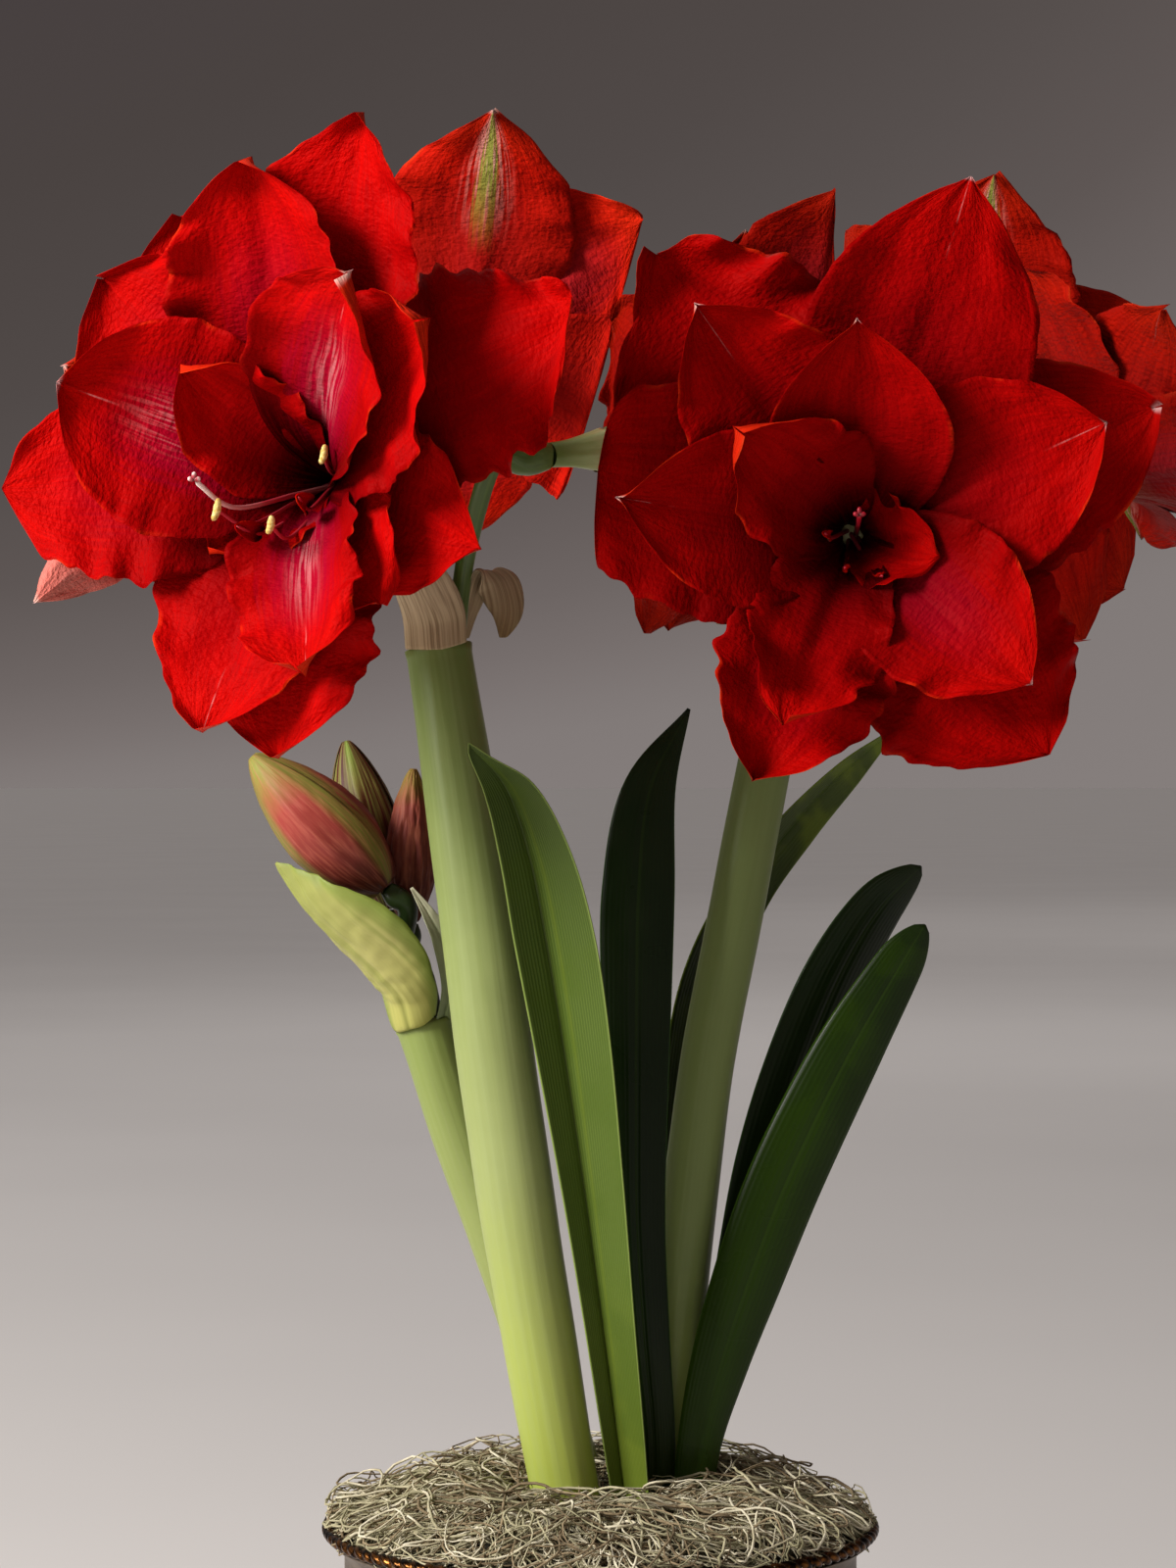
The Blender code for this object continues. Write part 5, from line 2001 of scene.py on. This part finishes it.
@dataclass(frozen=True)
class Pot:
    """A turned metal pot with a rope-twist rim."""

    rim_radius: float = 0.1020
    height: float = 0.1500
    wall: float = 0.0012
    rope_radius: float = 0.0026
    body_radius: float = 0.0935
    body_top: float = 0.125
    taper: float = 0.55
    foot_radius: float = 0.0740
    base_height: float = 0.003
    neck: tuple[float, float] = (0.136, 0.138)
    flare_height: float = 0.008
    flare_reach: float = 0.0085
    wall_rings: int = 22
    lip_rings: int = 6
    sides: int = 144
    rope_lobes: int = 112
    rope_strands: int = 2
    rope_sides: int = 18
    rope_steps: int = 1120
    rope_waist: float = 0.50
    rope_bulge: float = 0.42
    base_middle: float = 0.04
    foot_chamfer: tuple[float, float] = (0.0024, 0.0012)
    foot_inset: float = 0.003

    def wall_radius(self, height: float) -> float:
        """The outer radius: a gently tapered body under a flared lip.

        Args:
            height: metres above the table.

        Returns:
            The radius there.
        """
        grown = (self.body_radius - self.foot_radius) * min(height / self.body_top, 1.0) ** self.taper
        flare = max(0.0, (height - self.neck[1]) / self.flare_height)
        return self.foot_radius + grown + self.flare_reach * flare**1.5

    def build(self) -> None:
        """Builds the pot and its rim."""
        self.build_wall()
        self.build_rope()

    def build_wall(self) -> None:
        """Turns the pot's section round Z, with its seams and poles merged."""
        lip_top = self.height - 2 * self.rope_radius - SEAT_GAP
        spans = ((self.base_height, self.neck[0], self.wall_rings), (self.neck[1], lip_top, self.lip_rings))
        heights = [low + (high - low) * i / rings for low, high, rings in spans for i in range(rings + 1)]
        outer = [(self.wall_radius(z), z) for z in reversed(heights)]
        inner = [(radius - self.wall, z) for radius, z in reversed(outer)]
        rest = self.foot_radius - self.foot_inset
        foot = [(rest + self.foot_chamfer[0], self.foot_chamfer[1]), (rest, 0), (0, 0)]
        section = [(0, self.base_height), (self.base_middle, self.base_height), *inner, *outer, *foot]
        draft = Draft()
        shape = draft.shape
        verts = [shape.verts.new((radius, 0, height)) for radius, height in section]
        edges = [shape.edges.new(pair) for pair in zip(verts, verts[1:])]
        around = {"axis": UP, "cent": (0, 0, 0), "steps": self.sides, "angle": math.tau}
        bmesh.ops.spin(shape, geom=verts + edges, use_merge=True, **around)
        bmesh.ops.remove_doubles(shape, verts=shape.verts, dist=0.00001)
        bmesh.ops.recalc_face_normals(shape, faces=shape.faces)
        draft.finish("pot_wall", [BRONZE], "pot_metal", ["pot"])

    def build_rope(self) -> None:
        """Builds the rim as two thick strands laid round each other."""
        ring = self.rim_radius - self.rope_radius
        height = self.height - self.rope_radius
        twist = self.rope_lobes / self.rope_strands

        def place(s: float, t: float) -> tuple[Vector, Vector]:
            """Finds a place on the rope.

            Args:
                s: the share round the rim.
                t: the share round the rope, from -1 to 1.

            Returns:
                The point and its place on the skin.
            """
            along, around = math.tau * s, math.pi * t
            lobe = abs(math.cos(self.rope_strands / 2 * around + twist * along))
            radius = self.rope_radius * (self.rope_waist + self.rope_bulge * lobe**0.65)
            out = ring + radius * math.cos(around)
            point = Vector((math.cos(along) * out, math.sin(along) * out, height + radius * math.sin(around)))
            return point, point.copy()

        draft = Draft()
        draft.closed(self.rope_sides, self.rope_steps, place)
        draft.finish("pot_rope_twist", [COPPER], "rope_metal", ["pot_rope_rim"])


@dataclass(frozen=True)
class Moss:
    """A mound of dried moss: a lumpy bed, and curly strands in three tones that lie over it.

    A real strand is half as thick. These are drawn thicker so that they show one by one.
    """

    crown: float = 0.1640
    fall: float = 0.0165
    lump_height: float = 0.0035
    hollow: float = 0.0105
    hollow_size: tuple[float, float] = (0.040, 0.030)
    hollow_front: float = 0.016
    rim_radius: float = 0.1020
    bed_radius: float = 0.0905
    bed_foot: float = 0.1400
    mound_end: float = 0.8
    skirt_end: float = 0.95
    strand_radius: float = 0.00052
    steps: int = 18
    step_length: float = 0.0034
    wriggle: float = 0.0009
    wander: float = 0.28
    bends: tuple[float, float] = (0.03, 0.45)
    lifts: tuple[float, float] = (-0.001, 0.0035)
    low_arches: tuple[float, float] = (0.0, 0.004)
    high_arches: tuple[float, float] = (0.003, 0.010)
    low_share: float = 0.6
    rises: tuple[float, float] = (0.002, 0.010)
    rising_share: float = 0.12
    waves: tuple[float, float] = (0.5, 2.5)
    strides: tuple[float, float] = (0.5, 1.4)
    thicknesses: tuple[float, float] = (0.55, 1.25)

    strands: tuple[tuple[str, int, Finish], ...] = (
        ("moss_strands_grey", 720, MOSS_GREY),
        ("moss_strands_light", 480, MOSS_LIGHT),
        ("moss_strands_brown", 520, MOSS_BROWN),
    )

    def height_at(self, x: float, y: float) -> float:
        """The bed's height, with its lumps and the hollow where the stems come up.

        Args:
            x: metres to the right of the middle.
            y: metres behind it.

        Returns:
            Metres above the table.
        """
        share = math.hypot(x, y) / (self.rim_radius - 0.006)
        broad, fine = (noise.noise(Vector((x * by, y * by, level))) for by, level in ((45, 2.0), (110, 5.0)))
        hollow = bell(x, self.hollow_size[0]) * bell(y + self.hollow_front, self.hollow_size[1])
        lumps = self.lump_height * (broad + 0.5 * fine)
        return self.crown - self.fall * share**2.6 + lumps - self.hollow * hollow

    def build(self) -> None:
        """Builds the bed and the strands."""
        draft = Draft()
        draft.closed(120, 60, self.bed_point)
        draft.finish("moss_bed", [MOSS_BED], "dried_moss", ["moss"])
        for number, (name, count, finish) in enumerate(self.strands):
            self.build_strands(name, count, finish, random.Random(40 + number))

    def bed_point(self, s: float, t: float) -> tuple[Vector, Vector]:
        """The bed: a disc raised to the mound's height, a skirt down inside the pot and a flat underside.

        Args:
            s: the share outwards, down the skirt and back in.
            t: the share round, from -1 to 1.

        Returns:
            The point and its place on the skin.
        """
        around = math.pi * t
        on_mound = s <= self.mound_end
        radius = self.bed_radius * min(s / self.mound_end, 1.0) + 0.004 * smooth(s, 0.6, 0.8) * on_mound
        x, y = radius * math.cos(around), radius * math.sin(around)
        z = self.height_at(x, y)
        if not on_mound:
            z += (self.bed_foot - z) * (s - self.mound_end) / (self.skirt_end - self.mound_end)
        if s > self.skirt_end:
            inwards = (1 - s) / (1 - self.skirt_end)
            x, y, z = x * inwards, y * inwards, self.bed_foot
        point = Vector((x, y, z))
        return point, point.copy()

    def strand(self, draw: random.Random) -> list[Vector]:
        """One curly strand that wanders over the bed, sometimes in an arch, a hook or a rising end.

        Args:
            draw: the random source.

        Returns:
            The strand's points.
        """
        radius = (self.rim_radius - 0.004) * math.sqrt(draw.random())
        around = draw.uniform(0, math.tau)
        x, y = radius * math.cos(around), radius * math.sin(around)
        heading = draw.uniform(0, math.tau)
        bend = draw.choice((-1, 1)) * draw.uniform(*self.bends)
        lift = draw.uniform(*self.lifts)
        arch = draw.uniform(*(self.low_arches if draw.random() < self.low_share else self.high_arches))
        rise = draw.uniform(*self.rises) if draw.random() < self.rising_share else 0.0
        waves, phase = draw.uniform(*self.waves), draw.uniform(0, math.tau)
        stride = self.step_length * draw.uniform(*self.strides)
        points = []
        for step in range(self.steps):
            share = step / (self.steps - 1)
            wriggle = self.wriggle * math.sin(math.tau * waves * share + phase)
            z = self.height_at(x, y) + lift + arch * math.sin(math.pi * share) + rise * share**3 + wriggle
            points.append(Vector((x, y, z)))
            heading += bend + draw.uniform(-self.wander, self.wander)
            x += stride * math.cos(heading)
            y += stride * math.sin(heading)
            # A strand that reaches the rim turns back in.
            if math.hypot(x, y) > self.rim_radius - 0.001:
                heading += math.pi * 0.45 * (1 if bend > 0 else -1)
                x, y = x * 0.97, y * 0.97
        return points

    def build_strands(self, name: str, count: int, finish: Finish, draw: random.Random) -> None:
        """Builds many strands as one curve with a thin round section, then makes it a mesh.

        Args:
            name: the piece's name.
            count: how many strands.
            finish: their finish.
            draw: the random source.
        """
        curve = bpy.data.curves.new(name, "CURVE")
        curve.dimensions = "3D"
        curve.bevel_depth = self.strand_radius
        curve.bevel_resolution = 0
        curve.use_fill_caps = True
        for _ in range(count):
            points = self.strand(draw)
            spline = curve.splines.new("POLY")
            spline.points.add(len(points) - 1)
            thick = draw.uniform(*self.thicknesses)
            for i, (knot, point) in enumerate(zip(spline.points, points)):
                knot.co = (*point, 1)
                knot.radius = thick * (0.92 - 0.7 * (i / (len(points) - 1)) ** 3)
        holder = add_object(name + "_curve", curve)
        bpy.context.view_layer.update()
        graph = bpy.context.evaluated_depsgraph_get()
        mesh = bpy.data.meshes.new_from_object(holder.evaluated_get(graph))
        bpy.data.objects.remove(holder)
        mesh.materials.clear()
        mesh.materials.append(finish.material())
        mesh.shade_smooth()
        ride_along(add_object(name, mesh))


def dress_planting() -> None:
    """Gives the CAD soil and bulb, which the moss hides, their finishes."""
    for node, finish in (("soil", SOIL), ("bulb", TUNIC)):
        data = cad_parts[node].data
        data.materials.clear()
        data.materials.append(finish.material())
        log.info("%s: dressed", node)


# Studio


@dataclass(frozen=True)
class Studio:
    """A pale floor, a soft key light from the front left, a graded surround and the photograph's camera."""

    camera_place: Point = (-0.00455, -1.382, 0.4184)
    lens: float = 86.7
    sensor: float = 36.0
    floor_half: float = 400.0
    key_place: Point = (-2.2, -1.25, 1.55)
    key_aim: Point = (0.0, 0.0, 0.42)
    key_size: float = 1.0
    key_power: float = 124.0
    key_tint: Point = (1.0, 0.97, 0.93)
    # Lights over the floor behind the plant: where each hangs, and its watts.
    pools: tuple[tuple[Point, float], ...] = (
        ((-1.5, 2.3, 3.0), 58.0),
        ((0.7, 4.6, 3.0), 54.0),
        ((2.4, 9.0, 3.5), 46.0),
    )
    pool_lead: float = 1.0
    pool_angle: float = 110.0
    pool_size: float = 0.5
    pool_tint: Point = (1.0, 0.98, 0.96)
    slant_width: float = 0.1667
    slant: float = 0.12
    stretch: tuple[float, float] = (1.49, 0.60)
    # The surround's tones, from straight down at 0 over the horizon at a half to straight up at 1.
    tones: tuple[tuple[float, str], ...] = (
        (0.0, "#6e6765"),
        (0.493, "#857e7c"),
        (0.509, "#817a78"),
        (0.518, "#776f6d"),
        (0.5276, "#6d6563"),
        (0.5463, "#5e5654"),
        (0.565, "#564f4d"),
        (0.5836, "#504947"),
        (0.621, "#4a4341"),
        (0.66, "#474040"),
        (0.88, "#a8a4a2"),
        (1.0, "#cac6c4"),
    )

    def build(self) -> None:
        """Builds the floor, the lights, the surround and the camera."""
        self.build_floor()
        key = {"size": self.key_size, "color": self.key_tint}
        self.hang("key", "AREA", self.key_place, self.key_aim, self.key_power, key)
        pool = {
            "spot_size": math.radians(self.pool_angle),
            "spot_blend": 1.0,
            "shadow_soft_size": self.pool_size,
            "color": self.pool_tint,
        }
        for number, (place, power) in enumerate(self.pools):
            aim = (place[0], place[1] + self.pool_lead, 0.0)
            self.hang(f"pool_{number}", "SPOT", place, aim, power, pool)
        self.build_surround()
        self.build_camera()
        bpy.context.scene.view_settings.view_transform = "Standard"

    def build_floor(self) -> None:
        """Builds a plain matt floor."""
        shape = bmesh.new()
        bmesh.ops.create_grid(shape, x_segments=1, y_segments=1, size=self.floor_half)
        mesh = bpy.data.meshes.new("studio_floor")
        shape.to_mesh(mesh)
        shape.free()
        mesh.materials.append(PAPER.material())
        add_object("studio_floor", mesh)

    @staticmethod
    def hang(name: str, kind: str, place: Point, aim: Point, power: float, settings: dict[str, Any]) -> None:
        """Hangs a light.

        Args:
            name: its name.
            kind: Blender's kind of light.
            place: where it hangs.
            aim: the point that it shines at.
            power: its power in watts.
            settings: the light's other properties.
        """
        lamp = bpy.data.lights.new(name, kind)
        lamp.energy = power
        for key, value in settings.items():
            setattr(lamp, key, value)
        light = add_object(name, lamp)
        light.location = place
        light.rotation_euler = (Vector(aim) - light.location).to_track_quat("-Z", "Y").to_euler()

    def build_surround(self) -> None:
        """Grades the surround by height: the floor's tone at the horizon, darker above it, light overhead.

        The grade is stretched on the left and squeezed on the right, and slants down to the right.
        """
        world = bpy.data.worlds.new("studio surround")
        world.use_nodes = True
        tree = world.node_tree
        way = add_node(tree, "SeparateXYZ", {0: add_node(tree, "TexCoord")["Generated"]})
        limits = {"From Min": -self.slant_width, "From Max": self.slant_width}
        ends = {"To Min": self.stretch[0], "To Max": self.stretch[1]}
        stretch = add_node(tree, "MapRange", {"Value": way["X"], **limits, **ends})[0]
        shift = add_node(tree, "Math", {0: way["X"], 1: -self.slant}, operation="MULTIPLY")[0]
        slanted = add_node(tree, "Math", {0: way["Z"], 1: stretch, 2: shift}, operation="MULTIPLY_ADD")[0]
        share = add_node(tree, "MapRange", {"Value": slanted, "From Min": -1.0, "From Max": 1.0})[0]
        grade = add_node(tree, "ValToRGB", {0: share}, self.tones)[0]
        feed(tree, tree.nodes["Background"], {"Color": grade})
        bpy.context.scene.world = world

    def build_camera(self) -> None:
        """Sets the level camera that took the photograph."""
        view = bpy.data.cameras.new("view")
        view.lens = self.lens
        view.sensor_width = self.sensor
        camera = add_object("view", view)
        camera.location = self.camera_place
        camera.rotation_euler = (math.pi / 2, 0, 0)
        bpy.context.scene.camera = camera


def main() -> None:
    """Builds every piece in order."""
    logging.basicConfig(level=logging.INFO, format="%(message)s")
    Pot().build()
    dress_planting()
    Moss().build()
    for piece in (*SCAPES, *LEAVES, *BRACTS, *BUDS, *BLOOMS):
        piece.build()
    Studio().build()


if __name__ == "__main__":
    main()
